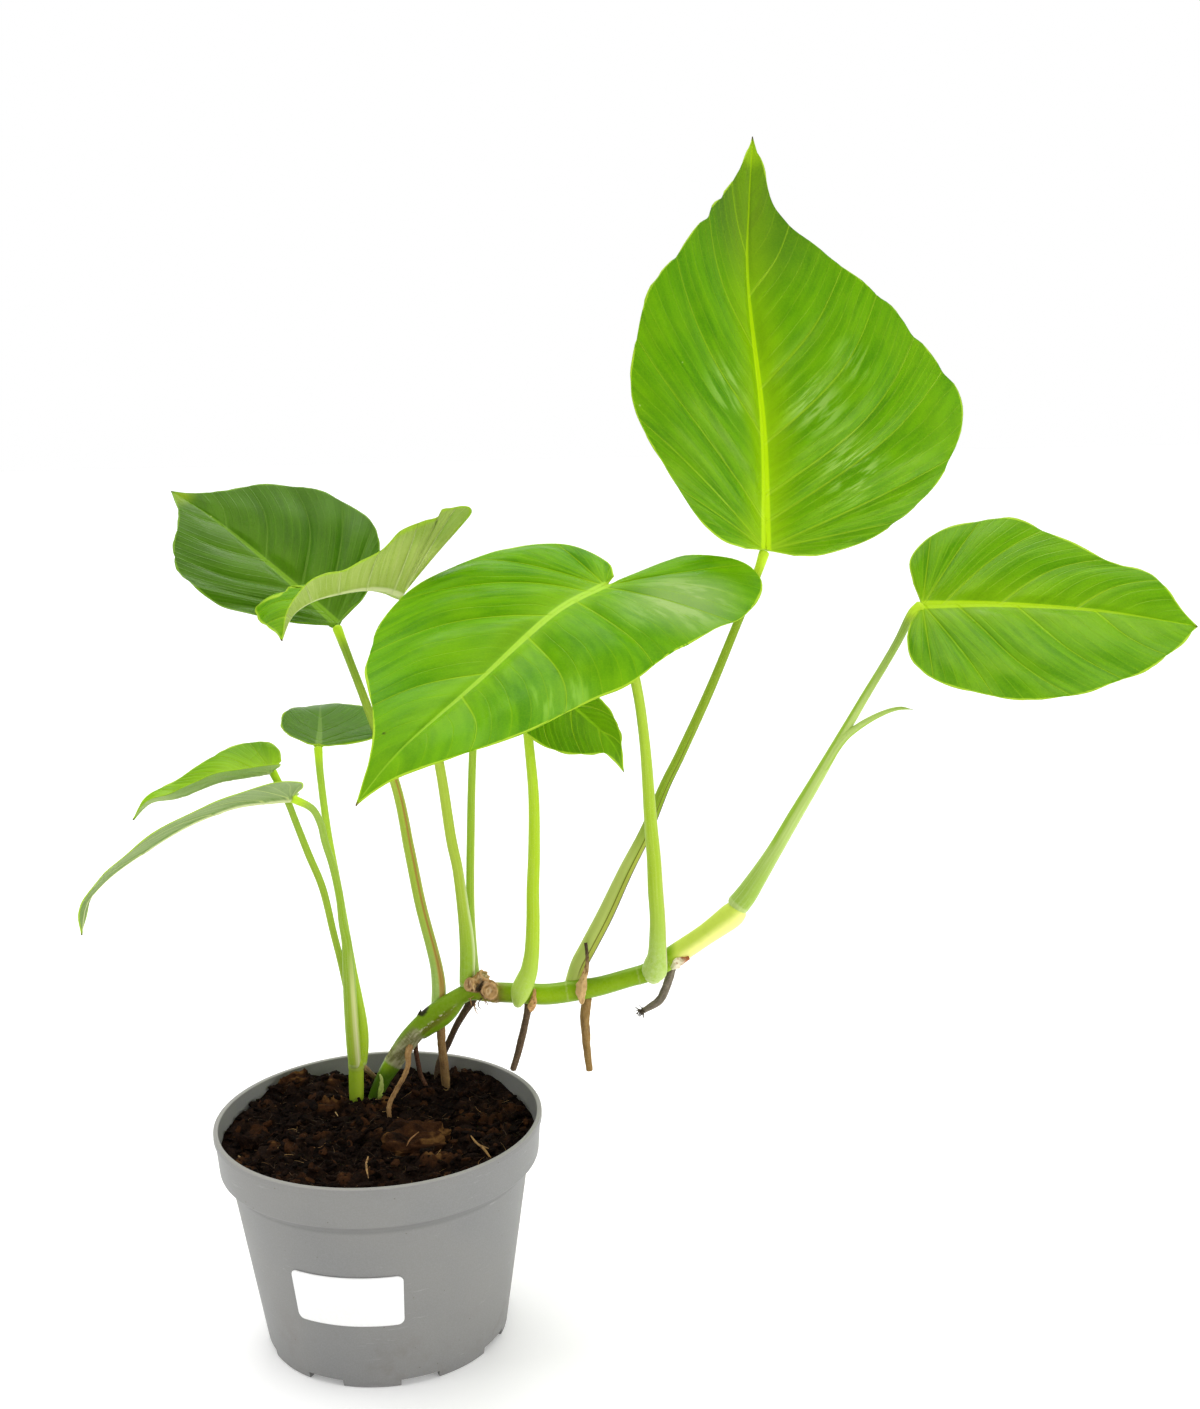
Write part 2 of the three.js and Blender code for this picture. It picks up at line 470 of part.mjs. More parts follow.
function buildSoil(cutters) {
  const profile = insideProfile(GAP, SOIL_LEVEL);
  const topRadius = profile[profile.length - 1][0];
  const points = [];
  const rings = [];
  const addRing = (radius, heightAt) => {
    const ring = [];
    for (let k = 0; k < ROUND_SEGMENTS; k++) {
      const angle = (2 * Math.PI * k) / ROUND_SEGMENTS;
      const [x, y] = [radius * Math.sin(angle), radius * Math.cos(angle)];
      ring.push(points.push([x, y, heightAt(x, y)]) - 1);
    }
    rings.push([...ring, ring[0]]);
  };
  addRing(0, () => profile[0][1]);
  for (const [radius, height] of profile.slice(0, 3)) addRing(radius, () => height);
  for (let k = SOIL_RINGS; k >= 0; k--) addRing((topRadius * k) / SOIL_RINGS, soilHeight);
  let soil = solidFromFaces(points, gridTriangles(rings, false));
  const random = seededRandom(SOIL_SEED);
  const between = (low, high) => low + (high - low) * random();
  for (let k = 0; k < CHIP_COUNT; k++) {
    const radius = CHIP_REACH * Math.sqrt(random());
    const angle = between(0, 2 * Math.PI);
    const [x, y] = [radius * Math.cos(angle), radius * Math.sin(angle)];
    const chip = new THREE.BoxGeometry(...CHIP_SIZES.map(([least, most]) => between(least, most)));
    chip.rotateX(between(-CHIP_TILT, CHIP_TILT)).rotateY(between(-CHIP_TILT, CHIP_TILT));
    chip.rotateZ(between(0, Math.PI)).translate(x, y, soilHeight(x, y) - CHIP_SUNK);
    soil = soil.add(solidFrom(chip));
  }
  return cutBy(soil, cutters);
}

// Leaf blades

// The rib's own frame at a distance along it, carried on straight behind the stalk
function ribFrame(leaf, path, length, along) {
  const share = THREE.MathUtils.clamp(along / length, 0, 1);
  const ahead = path.getTangentAt(share);
  const place = path.getPointAt(share).addScaledVector(ahead, along - share * length);
  const up = vector(leaf.up).lerp(vector(leaf.upAtTip ?? leaf.up), share);
  up.addScaledVector(ahead, -up.dot(ahead)).normalize();
  return { place, up, left: new THREE.Vector3().crossVectors(up, ahead) };
}

// A point on the middle of the blade, out from the rib by an arc that starts at the fold and droops
function bladePoint(leaf, frame, side, out) {
  const start = THREE.MathUtils.degToRad(leaf.fold[side > 0 ? 0 : 1]);
  const end = start - leaf.curl * out;
  const across = (Math.sin(start) - Math.sin(end)) / leaf.curl;
  const rise = (Math.cos(end) - Math.cos(start)) / leaf.curl;
  const middle = frame.place.clone().addScaledVector(frame.left, side * across);
  middle.addScaledVector(frame.up, rise);
  const normal = frame.up.clone();
  if (out > ON_RIB) {
    normal.multiplyScalar(Math.cos(end)).addScaledVector(frame.left, -side * Math.sin(end));
  }
  return { middle, normal };
}

// Each half is a fan of curved vein lines from the rib to evenly spaced points of the margin
function buildBlade(leaf) {
  const path = smoothPath(leaf.rib);
  path.arcLengthDivisions = RIB_DIVISIONS;
  const length = path.getLength();
  const { lines, shares } = leaf.small ? SMALL_BLADE : LARGE_BLADE;
  const points = [];
  const triangles = [];
  for (const side of [1, -1]) {
    const outline = side > 0 ? leaf.left : leaf.right;
    const margin = smoothPath([...outline, [length, 0]].map(([along, out]) => [along, out, 0]));
    const edges = margin.getSpacedPoints(lines);
    const upper = [];
    const lower = [];
    for (let i = 0; i <= lines; i++) {
      const past = Math.max(0, i / lines - FAN_SHARE) / (1 - FAN_SHARE);
      const from = length * past ** VEIN_SPREAD;
      const bend = 1 + VEIN_BEND * Math.min(1, (5 * from) / length);
      const pairs = shares.map((share) => {
        const along = from + (edges[i].x - from) * share ** bend;
        const frame = ribFrame(leaf, path, length, along);
        const { middle, normal } = bladePoint(leaf, frame, side, edges[i].y * share);
        const keel = share === 0 ? THREE.MathUtils.lerp(KEEL_AT_BASE, KEEL_AT_TIP, along / length) : 0;
        const top = middle.clone().addScaledVector(normal, BLADE_THICK / 2);
        const bottom = middle.clone().addScaledVector(normal, -BLADE_THICK / 2 - keel);
        return [points.push(top.toArray()) - 1, points.push(bottom.toArray()) - 1];
      });
      upper.push(pairs.map(([top]) => top));
      lower.push(pairs.map(([, bottom]) => bottom));
    }
    const outerEdge = (grid) => grid.map((row) => row[row.length - 1]);
    const flipped = side < 0;
    triangles.push(
      ...gridTriangles(upper, flipped),
      ...gridTriangles(lower, !flipped),
      ...gridTriangles([lower[0], upper[0]], flipped),
      ...gridTriangles([outerEdge(lower), outerEdge(upper)], flipped),
    );
  }
  return solidFromFaces(points, triangles);
}

// Assembly. Each piece that touches another is cut back from it by the gap.

const FAT = { grow: GAP };
const STEM_SHAPE = { sides: 10 };
const STALK_SHAPE = { steps: 1 };
const SHEATH_SHAPE = { sides: 6, steps: 1, flat: 0.5 };
const ROOT_SHAPE = { sides: 6, steps: 1 };
const SCALE_SHAPE = { sides: 6, flat: 0.45 };

const stemParts = [
  [MAIN_STEM, STEM_SHAPE],
  [ROOT_BULGE, { sides: 8 }],
  ...CUT_STUBS.map((rows) => [rows, { sides: 9 }]),
  [TWIG_STUB, { sides: 5, steps: 1 }],
];

function buildStem(options) {
  const tubes = stemParts.map(([rows, shape]) => tubeSolid(rows, { ...shape, ...options }));
  return tubes.reduce((whole, tube) => whole.add(tube));
}

const mainStem = buildStem({});
const sideStem = tubeSolid(SIDE_STEM, STEM_SHAPE);
const fatStems = [buildStem(FAT), tubeSolid(SIDE_STEM, { ...STEM_SHAPE, ...FAT })];

const petioles = {};
const fatPetioles = {};
for (const [name, rows] of Object.entries(PETIOLES)) {
  let stalk = tubeSolid(rows, STALK_SHAPE);
  if (name === 'right') stalk = stalk.add(tubeSolid(SHEATH_TIP, SHEATH_SHAPE));
  petioles[name] = cutBy(stalk, [...fatStems, ...Object.values(fatPetioles)]);
  fatPetioles[name] = tubeSolid(rows, { ...STALK_SHAPE, ...FAT });
}

const roots = {};
const fatRoots = [];
for (const [name, rows] of Object.entries(ROOTS)) {
  roots[name] = cutBy(tubeSolid(rows, ROOT_SHAPE), fatStems);
  fatRoots.push(tubeSolid(rows, { ...ROOT_SHAPE, ...FAT }));
}

const scales = {};
for (const [name, rows] of Object.entries(SCALES)) {
  const strip = tubeSolid(rows, SCALE_SHAPE);
  scales[name] = cutBy(strip, [...fatStems, ...Object.values(fatPetioles), ...fatRoots]);
}
const fatBudScale = tubeSolid(SCALES.bud_scale, { ...SCALE_SHAPE, ...FAT });

const soil = buildSoil([...fatStems, ...fatRoots, fatBudScale]);

// Colours

const finish = (color, roughness) => new THREE.MeshStandardMaterial({ color, roughness, metalness: 0 });
const MATERIALS = {
  pot: finish(0x8d8e90, 0.5),
  label: finish(0xf4f4f2, 0.6),
  soil: finish(0x2c1a12, 1),
  leaf: finish(0x5a9a14, 0.4),
  petiole: finish(0x97b84a, 0.5),
  stem: finish(0x5f8f2a, 0.55),
  root: finish(0x7d6446, 0.9),
  papery: finish(0xb08a5c, 0.9),
};

const plant = new THREE.Group();

function place(name, solid, material) {
  const { vertProperties, triVerts } = solid.getMesh();
  const geometry = new THREE.BufferGeometry();
  geometry.setAttribute('position', new THREE.BufferAttribute(vertProperties, 3));
  geometry.setIndex(new THREE.BufferAttribute(triVerts, 1));
  geometry.computeVertexNormals();
  const mesh = new THREE.Mesh(geometry, material);
  mesh.name = name;
  plant.add(mesh);
}

place('pot', buildPot(), MATERIALS.pot);
place('pot_label', buildLabel(), MATERIALS.label);
place('soil', soil, MATERIALS.soil);
place('main_stem', mainStem, MATERIALS.stem);
place('side_stem', sideStem, MATERIALS.stem);
for (const name of Object.keys(PETIOLES)) {
  place(`petiole_${name}`, petioles[name], MATERIALS.petiole);
  const blade = cutBy(buildBlade(LEAVES[name]), Object.values(fatPetioles));
  place(`leaf_${name}`, blade, MATERIALS.leaf);
}
for (const [name, root] of Object.entries(roots)) place(`root_${name}`, root, MATERIALS.root);
for (const [name, scale] of Object.entries(scales)) place(name, scale, MATERIALS.papery);

export default plant;
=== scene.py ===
import itertools
import math

import bmesh
import bpy
import numpy as np
from mathutils import Euler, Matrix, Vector


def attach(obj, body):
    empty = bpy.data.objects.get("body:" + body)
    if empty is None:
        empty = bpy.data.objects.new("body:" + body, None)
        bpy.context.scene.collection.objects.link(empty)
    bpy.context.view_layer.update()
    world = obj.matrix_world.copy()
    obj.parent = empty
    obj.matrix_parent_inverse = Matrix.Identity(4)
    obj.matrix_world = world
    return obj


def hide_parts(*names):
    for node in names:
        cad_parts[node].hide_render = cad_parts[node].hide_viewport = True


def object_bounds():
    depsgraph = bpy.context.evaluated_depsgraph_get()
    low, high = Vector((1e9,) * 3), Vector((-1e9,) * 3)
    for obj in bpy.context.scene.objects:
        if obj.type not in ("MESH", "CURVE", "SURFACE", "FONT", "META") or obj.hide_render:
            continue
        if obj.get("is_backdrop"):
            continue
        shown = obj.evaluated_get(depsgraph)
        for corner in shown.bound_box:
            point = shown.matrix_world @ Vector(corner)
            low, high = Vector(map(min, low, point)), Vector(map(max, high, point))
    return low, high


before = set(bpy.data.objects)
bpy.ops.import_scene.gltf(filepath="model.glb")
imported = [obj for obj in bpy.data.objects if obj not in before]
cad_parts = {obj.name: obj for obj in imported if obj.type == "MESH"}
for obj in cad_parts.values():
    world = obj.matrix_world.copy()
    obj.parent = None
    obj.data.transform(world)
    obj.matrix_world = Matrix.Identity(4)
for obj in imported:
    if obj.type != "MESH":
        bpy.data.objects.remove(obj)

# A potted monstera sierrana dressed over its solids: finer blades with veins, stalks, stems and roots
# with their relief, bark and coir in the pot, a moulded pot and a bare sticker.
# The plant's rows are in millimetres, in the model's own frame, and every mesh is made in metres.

CAD_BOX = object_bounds()
MM = 0.001
# Points closer than the first are merged, and an edge shorter than the second is dropped, in metres
MERGE_WITHIN = 2e-6
NO_LENGTH = 1e-7
# The steps of a tube's rounded ends, and the side that the angles round it are measured from
CAP_STEPS = 4
TUBE_FACING = (0.0, -1.0, 0.0)
BODY = "root"

# Each kind of part draws its random numbers from a seed of its own
RANDOM_SEED = 20
HAIR_SEED = RANDOM_SEED + 1
CHIP_SEED = RANDOM_SEED + 2
CRUMB_SEED = RANDOM_SEED + 3
FIBRE_SEED = RANDOM_SEED + 4
LEAF_SEED = RANDOM_SEED + 10
ROOT_SEED = RANDOM_SEED + 40
SCALE_SEED = RANDOM_SEED + 60

# Stage: the photograph's viewing angle, a pale floor and soft light. Places are in metres, angles in
# degrees.

CAMERA_PLACE = (0.1075, -0.785, 0.4605)
CAMERA_PITCH_DOWN = 11.64
CAMERA_ROLL = -1.30
PHOTO_LONG_SIDE = 1409
FOCAL_PIXELS = 1800
SENSOR = 36
FLOOR_HALF = 6.0
FLOOR_GLOW = 0.2
WHITE = (1.0, 1.0, 1.0, 1.0)
SURROUND_DIM = 0.5
SURROUND_BEHIND = 1.0
BEHIND_FROM = 0.8
BEHIND_FULL = 0.91
SUN_STRENGTH = 2.1
SUN_SPREAD = 60
SUN_FROM = (-0.1, 0.1, 0.95)

# name: place, point it looks at, width, height, watts
LIGHTS = {
    "window": ((1.25, -0.55, 0.42), (0.15, 0.08, 0.38), 0.9, 0.22, 5.0),
    "back": ((0.0, 0.95, 1.50), (0.10, 0.0, 0.33), 1.0, 0.35, 6.0),
    "left": ((-1.30, -0.50, 0.80), (0.05, 0.05, 0.25), 0.4, 1.0, 2.5),
}

# The pot's and label's sizes, in millimetres

GAP = 0.3
POT_HEIGHT = 106
RIM_RADIUS = 76
LIP_HEIGHT = 3
LIP_PROUD = 0.7
BAND_FOOT_RADIUS = 74
BAND_FOOT_HEIGHT = 87
BODY_TOP_RADIUS = 69
BODY_TOP_HEIGHT = 82.5
STEP_OUT = 1.6
STEP_UP = 2.6
BASE_RADIUS = 56.2
WALL = 1.5
FLOOR_UNDER = 3
FLOOR_THICK = 1.8
FLOOR_TOP = FLOOR_UNDER + FLOOR_THICK
FOOT_RING_WIDTH = 3.6
POT_SPOKES = 192
ROUNDING_STEPS = 5
POT_SHARP_ANGLE = math.radians(35)
POT_INNER_FOOT = BASE_RADIUS + (BODY_TOP_RADIUS - BASE_RADIUS) * FLOOR_TOP / BODY_TOP_HEIGHT - WALL

NOTCH_HEIGHT = 3.4
NOTCH_COUNT = 8
NOTCH_ANGLE = 18
NOTCH_FIRST = 246
DRAIN_COUNT = 8
DRAIN_RADIUS = 4.5
DRAIN_CIRCLE = 38

LABEL_WIDTH = 50.8
LABEL_HEIGHT = 25.4
LABEL_CORNER = 3
LABEL_THICK = 0.35
LABEL_STANDOFF = 0.12
LABEL_MIDDLE_ANGLE = 261
LABEL_MIDDLE_HEIGHT = 46.3
LABEL_CORNER_STEPS, LABEL_ACROSS_STEPS, LABEL_UP_STEPS = 12, 26, 30
POT_GREY = "80807f"
POT_GREY_WARM = "888784"

# Bark and coir

SOIL_LEVEL = 95
SOIL_RADIUS = 73.1
WALL_CLEAR = 0.2
SOIL_SEED = 7
SOIL_SPOKES = 300
SOIL_SURFACE_RINGS = 100
# height, width and seed of each size of bump
SOIL_BUMPS = ((5.0, 15.0, 41), (3.4, 6.0, 42), (1.4, 2.2, 43))
# Where the mix is heaped against the wall: middle, reach and height
SOIL_HEAPS = [((-44, 46), 24, 6.5), ((-62, 14), 16, 2.5), ((44, 50), 20, 4.5), ((4, 66), 16, 3.0)]
# The large pieces at the surface: middle, size, turn in degrees and tone
CHUNKS = [
    ((16, -8), (32, 27, 12), 20, 0.86), ((-58, 0), (18, 13, 6), 70, 0.55), ((-48, 46), (18, 9, 6), 30, 0.75),
    ((-14, -4), (17, 10, 5), 10, 0.5), ((52, 18), (18, 13, 7), 130, 0.5), ((20, 50), (20, 12, 7), 0, 0.35),
    ((-34, -38), (20, 12, 6), 160, 0.4), ((30, -46), (15, 10, 5), 25, 0.45), ((42, 44), (17, 12, 6), 60, 0.3),
]
CHIP_COUNT = 18
CHIP_SIZES = [[8, 16], [4, 9], [3, 5.5]]
CHIP_REACH = 62
CHIP_TILT = 0.4
CHIP_SUNK = 0.4
CHIP_ROUGH = 0.22
CHUNK_ROUGH = 0.3
CHUNK_TILT = 0.1
CHUNK_SUNK = 1
CHUNK_PUSHED_FROM = 80.0
CRUMB_COUNT = 2100
CRUMB_REACH = SOIL_RADIUS - 1.2
CRUMB_ROUGH = 0.35
FIBRE_COUNT = 520
FIBRE_REACH = SOIL_RADIUS - 4
FIBRE_COLOURS = ("2a1a11", "3c2819", "5d3f25", "8a6438", "b08a55")
# start, end, radius and colour of the pale splinters that stand out
SPLINTERS = [
    [(-1.5, -32, 100.0), (0.5, -48, 97.5), 0.55, "a98150"],
    [(43.2, -8.6, 98), (52, -20, 97), 0.6, "9a7446"],
    [(54.1, -30.8, 96.5), (47, -16, 97), 0.6, "96703f"],
    [(-28.4, 31.6, 97.5), (-22.4, 19.9, 96.5), 0.5, "c5a671"],
    [(20, -16, 104), (15, -23, 100.5), 0.4, "8a6038"],
    [(-62, -22, 97), (-57, -31, 97), 0.6, "a08050"],
]

# Blades. A blade's lines run from the rib to its margin, its shares from the rib out.

BLADE_THICK = 0.6
BLADE_LINES = 84
VEIN_SIDE_LINES = (-0.009, -0.0035, 0.0, 0.0035, 0.009)
VEIN_CLEAR = 0.008
BLADE_SHARES = np.concatenate([
    [0, 0.006, 0.013, 0.021, 0.032, 0.047, 0.066, 0.09, 0.12, 0.155],
    np.linspace(0.2, 0.93, 17), [0.962, 0.983, 0.994, 1.0],
])
FAN_SHARE = 0.3
VEIN_BEND_GAIN = 6.0
VEIN_CURVE = 5
QUILT_WIDE = 24.0
SINUS_STEPS = 12
NICK_COUNT = 34
NICK_FOOT = (0.05, 0.15)
# Swellings and nicks are shares of the distance from the vein to the margin, or of this at least
SHORTEST_REACH = 10
# Numbers kept for the veins of the first half, so that the second half's noise is its own
HALF_VEINS = 20
VEIN_RIDGE = 0.3
VEIN_RIDGE_WIDE = 0.9
FINE_VEINS = 5.0
BIG_BLADE = 120.0
RIB_HALF_AT_BASE = 2.6
RIB_HALF_AT_TIP = 0.35
RIB_BLEND = 1.5
RIB_DEEP_AT_BASE = 1.7
RIB_DEEP_AT_TIP = 0.2

# The share of light that passes through a blade, and the tint of its gloss
THROUGH_SHARE = 0.14
LEAF_SHEEN = (1.0, 1.0, 0.3, 1.0)
LEAF_NET_SCALE = 640
LEAF_SPECK = "c6dc7a"
# Where the brown point starts and is full, as shares of the blade's length
TIP_SPOT = (0.985, 0.998)

# A blade's form. The main veins of its left and its right half are the shares of the margin where they
# end.
BLADE_DEFAULTS = {
    "veins": ([0.2, 0.36, 0.5, 0.64, 0.77, 0.89], [0.2, 0.35, 0.49, 0.64, 0.77, 0.88]),
    "spread": 2.1, "bend": 0.35, "scallop": 0.9, "quilt": 2.2, "waves": 9.0, "ripple": 1.6, "ragged": 0.8,
}
SMALL_VEINS = ([0.3, 0.5, 0.68, 0.84], [0.3, 0.49, 0.67, 0.83])
# A blade's colours and gloss. A patch is a middle, a reach, a colour, a share and the part of that
# share that is kept between the streaks. Some patches are painted highlights.
GREEN_LOOK = {
    "deep": "4a8a04", "fresh": "69a804", "pale": "7db306", "rib": "c0ea04", "vein": "a4cf20",
    "margin": "b8dc38", "point": "7a8a2a", "through": "9ad408", "vein_mm": 0.8, "margin_mm": 0.85,
    "patches": [], "glow_mm": 22.0, "glow": 0.4, "fine": 0.18, "main": 0.55, "rough": 0.25, "shine": 0.25,
    "under": "a6bf52", "under_pale": "bcd06c", "under_vein": "d0df8c", "under_rib": "dfe8a8",
}
BLADE_STYLES = {
    "crown": {
        "veins": ([0.2, 0.34, 0.49, 0.67, 0.79, 0.89], [0.19, 0.34, 0.487, 0.56, 0.66, 0.74, 0.85]),
        "quilt": 3.2, "ragged": 2.6, "look": {**GREEN_LOOK, "point": "5b4226", "patches": [
            # The first patch darkens the blade's upper part and the second colours its point; the last four
            # are streaky painted highlights
            ((187, 130, 522), 60, "43691c", 0.9, 0.7), ((187, 137, 547), 12, "a6d01c", 0.6, 1.0),
            ((171, 84, 433), 20, "b8dc78", 0.4, 0.0), ((216, 103, 423), 20, "b8dc78", 0.45, 0.0),
            ((234, 102, 393), 24, "b8dc78", 0.5, 0.0), ((235, 117, 444), 16, "b8dc78", 0.25, 0.0)]}},
    "right": {"veins": ([0.18, 0.33, 0.5, 0.68, 0.83], [0.2, 0.36, 0.56, 0.72, 0.86]),
              "look": {**GREEN_LOOK, "fresh": "68a60a", "rib": "b2dc10", "glow": 0.25}},
    "front": {"veins": ([0.2, 0.38, 0.55, 0.7, 0.84], [0.17, 0.33, 0.47, 0.63, 0.79]),
              "quilt": 3.0, "look": {
                  **GREEN_LOOK, "rib": "aedc3c", "glow": 0.3, "point": "9a7a3a", "shine": 0.03, "patches": [
                      # The first patch is a small dark spot, the second a painted highlight and the third a
                      # painted sheen on the right lobe
                      ((19.5, -70.8, 303.4), 1.3, "1f2c08", 1.0, 1.0),
                      ((91, -70, 316), 20, "a6d85c", 0.5, 0.3),
                      ((143, -12, 342), 34, "b4cc84", 0.8, 0.6)]}},
    "back": {"quilt": 3.0, "look": {
        **GREEN_LOOK, "deep": "315c05", "fresh": "427007", "pale": "4e7c12", "vein": "6c962c",
        "rib": "76a41e", "glow": 0.2, "shine": 0.12, "main": 0.35, "margin": "7aa42c",
        "patches": [((-108, 144, 385), 14, "8eaa10", 0.9, 0.8)]}},
    "curled": {"spread": 1.1, "bend": 0.15, "look": {**GREEN_LOOK, "margin_mm": 1.5, "point": "7a4a34"}},
    "tucked": {"quilt": 0.6, "ripple": 0.6, "look": {
        **GREEN_LOOK, "deep": "3e7608", "fresh": "5c9808", "rib": "94c81c", "glow": 0.2}},
    "hidden": {"quilt": 0.6, "ripple": 0.6, "look": GREEN_LOOK},
    "shoot_right": {"veins": SMALL_VEINS, "quilt": 0.5, "ripple": 0.6, "look": {
        **GREEN_LOOK, "deep": "4c7e0a", "fresh": "5a8c10", "pale": "6c9a20", "vein": "7aa63c",
        "rib": "8cb44c", "glow": 0.2, "main": 0.35, "shine": 0.1}},
    "shoot_upper": {"veins": SMALL_VEINS, "quilt": 0.5, "ripple": 0.5, "look": {
        **GREEN_LOOK, "deep": "5c9404", "fresh": "80b80c", "under": "c4d88a", "under_pale": "d2e29c"}},
    "shoot_lower": {"veins": SMALL_VEINS, "quilt": 0.5, "ripple": 0.5, "look": {
        **GREEN_LOOK, "under": "7e9a56", "under_pale": "98b070"}},
}

# Stalks: colours at the foot, middle and top, then lines. A groove is an angle, a depth and a half
# width, and a stripe an angle, a half width, where it starts and ends, and a colour. Angles are in
# degrees from the front.

STALK_LOOK = {
    "foot": "b4d46a", "middle": "abcc2c", "top": "a6cc2c", "line": "cfe06e", "joint": "c8ee30", "bloom": 0.3,
    "collar": 0.3, "stripes": (), "grooves": ((150, 0.1, 25),),
}
STALK_LOOKS = {
    "crown": {"foot": "d0dc70", "middle": "86a42a", "top": "7a9e14", "line": "b4c850",
              "grooves": [(30, 0.1, 9), (150, 0.1, 25)],
              "stripes": [(-40, 46, 4, 100, "c0d070"), (38, 20, 4, 104, "b4bc50"), (14, 5, 6, 160, "54461a"),
                          (72, 18, 4, 140, "33270f")]},
    "right": {"foot": "9cbe4a", "middle": "b6d070", "top": "82a434", "line": "dcecaa", "bloom": 0.1,
              "grooves": [(70, 0.12, 16), (200, 0.08, 20)],
              "stripes": [(-62, 26, 30, 150, "9cc044")]},
    "front": {"foot": "b0d05c", "middle": "aac936", "top": "9cbf2c", "bloom": 0.45,
              "stripes": [(80, 15, 4, 84, "e6e2b4"), (70, 4, 10, 60, "b08a4a")]},
    "back": {"foot": "a9cc66", "middle": "a9c244", "top": "88ac30",
             "grooves": [(26, 0.14, 12), (150, 0.1, 25)],
             "stripes": [(36, 26, -8, 40, "c9a45c"), (30, 12, 4, 140, "b38c46"), (12, 3, 4, 155, "6b4720"),
                         (50, 4, 6, 170, "553719"), (68, 9, 4, 125, "c4bc58")]},
    # The curled stalk's stripe is a painted highlight down its right side
    "curled": {"foot": "98c030", "middle": "b2ca46", "top": "a8c84c", "bloom": 0.12,
               "stripes": [(95, 46, -6, 66, "d8e6a0")]},
    "tucked": {"foot": "bbdc56", "middle": "b6d82c", "top": "a6cc2a", "bloom": 0.2},
    "hidden": {"middle": "a2c43c", "stripes": [(80, 22, 20, 110, "c9dc70")]},
    "shoot_right": {"foot": "b9dc28", "middle": "b4d83a", "top": "a6cc3c", "bloom": 0.1},
    "shoot_upper": {"foot": "a4c236", "middle": "a2c23c", "top": "9cbe42"},
    "shoot_lower": {"foot": "a9cc24", "middle": "98bc34", "top": "9aba50", "line": "d0e488", "bloom": 0.1,
                    "grooves": [(30, 0.05, 10)],
                    "stripes": [(44, 46, -12, 50, "bdd250"), (40, 24, -12, 66, "dee892"),
                                (42, 8, -10, 50, "eef0b0")]},
}

# How far a stripe takes to come in and to fade, and how far the bloom reaches up from the foot
STRIPE_START = 8
STRIPE_END = 30
BLOOM_REACH = 32.0
# How much thicker a stalk is where its blade starts, as a share, and how far down that reaches
STALK_SWELL = 0.05
STALK_SWELL_REACH = 6.0
# The share of light that passes through a stalk
STALK_THROUGH = 0.08
SHEATHED_STALK = "right"
SHEATH_OPENED = math.radians(75)
SHEATH_OUTWARDS = (0.45, 0.9, -0.2)
SHEATH_ROWS, SHEATH_COLUMNS = 60, 15
SHEATH_THICK = 0.5
# Where the free tip's skin starts, as a share of the stalk's length
SHEATH_TIP_FROM = 0.55

# Stems

STEM_VOXEL = 0.5
STEM_SMOOTH_ROUNDS = 4
STEM_GREEN = "96bd0c"
STEM_SHADED_TOP_GREEN = "679210"
STEM_DARK_GREEN = "628410"
STEM_OLD_GREEN = "7aa212"
STEM_YOUNG = "cade58"
STEM_YOUNG_LIT_FROM_BELOW = "f6f890"
CORK_GREY = "83815a"
CORK_PALE = "b9b592"
CORK_TAN = "a47c4c"
# How far along the main stem the woody patch starts and ends, and where the painted shadow in the knob's
# cleft is darkest
CORK_FROM = 33.5
CORK_TO = 54.0
# Where the line of pale flecks starts and ends, as X and Z
STREAK = [(15.4, 129.8), (39.0, 145.2)]
KNOB_AT = 81.0
KNOB_SHADOW_CLEFT = (46.3, 43.5, 150.3)
# Old cuts on the knob: the middle, the way the cut faces, its radius and its inside colour
KNOB_SCARS = [
    [(50.8, 43.4, 149.0), (0.1, -0.9, 0.25), 3.7, "b58d5c"],
    [(40.4, 44.0, 152.8), (-0.7, -0.65, 0.3), 3.0, "c69a72"],
    [(49.3, 45.6, 157.2), (0.65, -0.25, 0.68), 2.8, "8a7a4a"],
]
KNOB_HAIRS = 9
KNOB_HAIR_COLOURS = ("8a6238", "a57a4a", "4a2c15")
STEM_RINGS = (0.513, 0.584, 0.742, 0.815)
SIDE_NODE_AT = 0.9

# Roots and dry scales

ROOT_LOOK = {"ridges": 0.1, "cracks": 0.03, "rings": 0.0}
ROOT_LOOKS = {
    "black": {"colour": "4a3524", "dark": "2c1d13", "light": "5f4630"},
    "over_rim": {"colour": "5c4732", "dark": "3a2a1c", "light": "7d6546"},
    "hanging": {"colour": "94733e", "dark": "6b5029", "light": "b08e56", "ridges": 0.14},
    "frayed": {"colour": "70685a", "dark": "463d32", "light": "958a74", "ridges": 0.2, "frays": 26},
    "prop": {"colour": "8e6c3e", "dark": "5f4628", "light": "a5844e", "foot": "584619"},
    "thin_dark": {"colour": "57301c", "dark": "321a10", "light": "74452a"},
    "curved_tan": {"colour": "a0784a", "dark": "6b4728", "light": "c49a66", "cracks": 0.12, "rings": 0.1},
    "side_shoot": {"colour": "9a7a58", "dark": "6f5237", "light": "bb9a77"},
}
SCALE_FACING = (0.1, -1.0, 0.1)
SCALE_ROWS, SCALE_COLUMNS = 34, 13
SCALE_HALF_THICK = 0.12
SCALE_LOOKS = {
    "scale_crown": {"colour": "cfab72", "dark": "99713c", "tip": "3f2b1b", "cup": 0.35},
    "scale_tucked": {"colour": "d2a266", "dark": "8a5c30", "tip": "b98a50", "cup": 0.4},
    "scale_front": {"colour": "efe8c8", "dark": "b5824a", "tip": "a4572a", "cup": 0.4},
    "bud_scale": {"colour": "b4cc58", "dark": "93ab40", "tip": "c9d878", "foot": "6b4a2a", "cup": 0.7,
                  "crumple": 0.2},
}

# The plant's rows: points on an axis with the radius there, and the blades' outlines

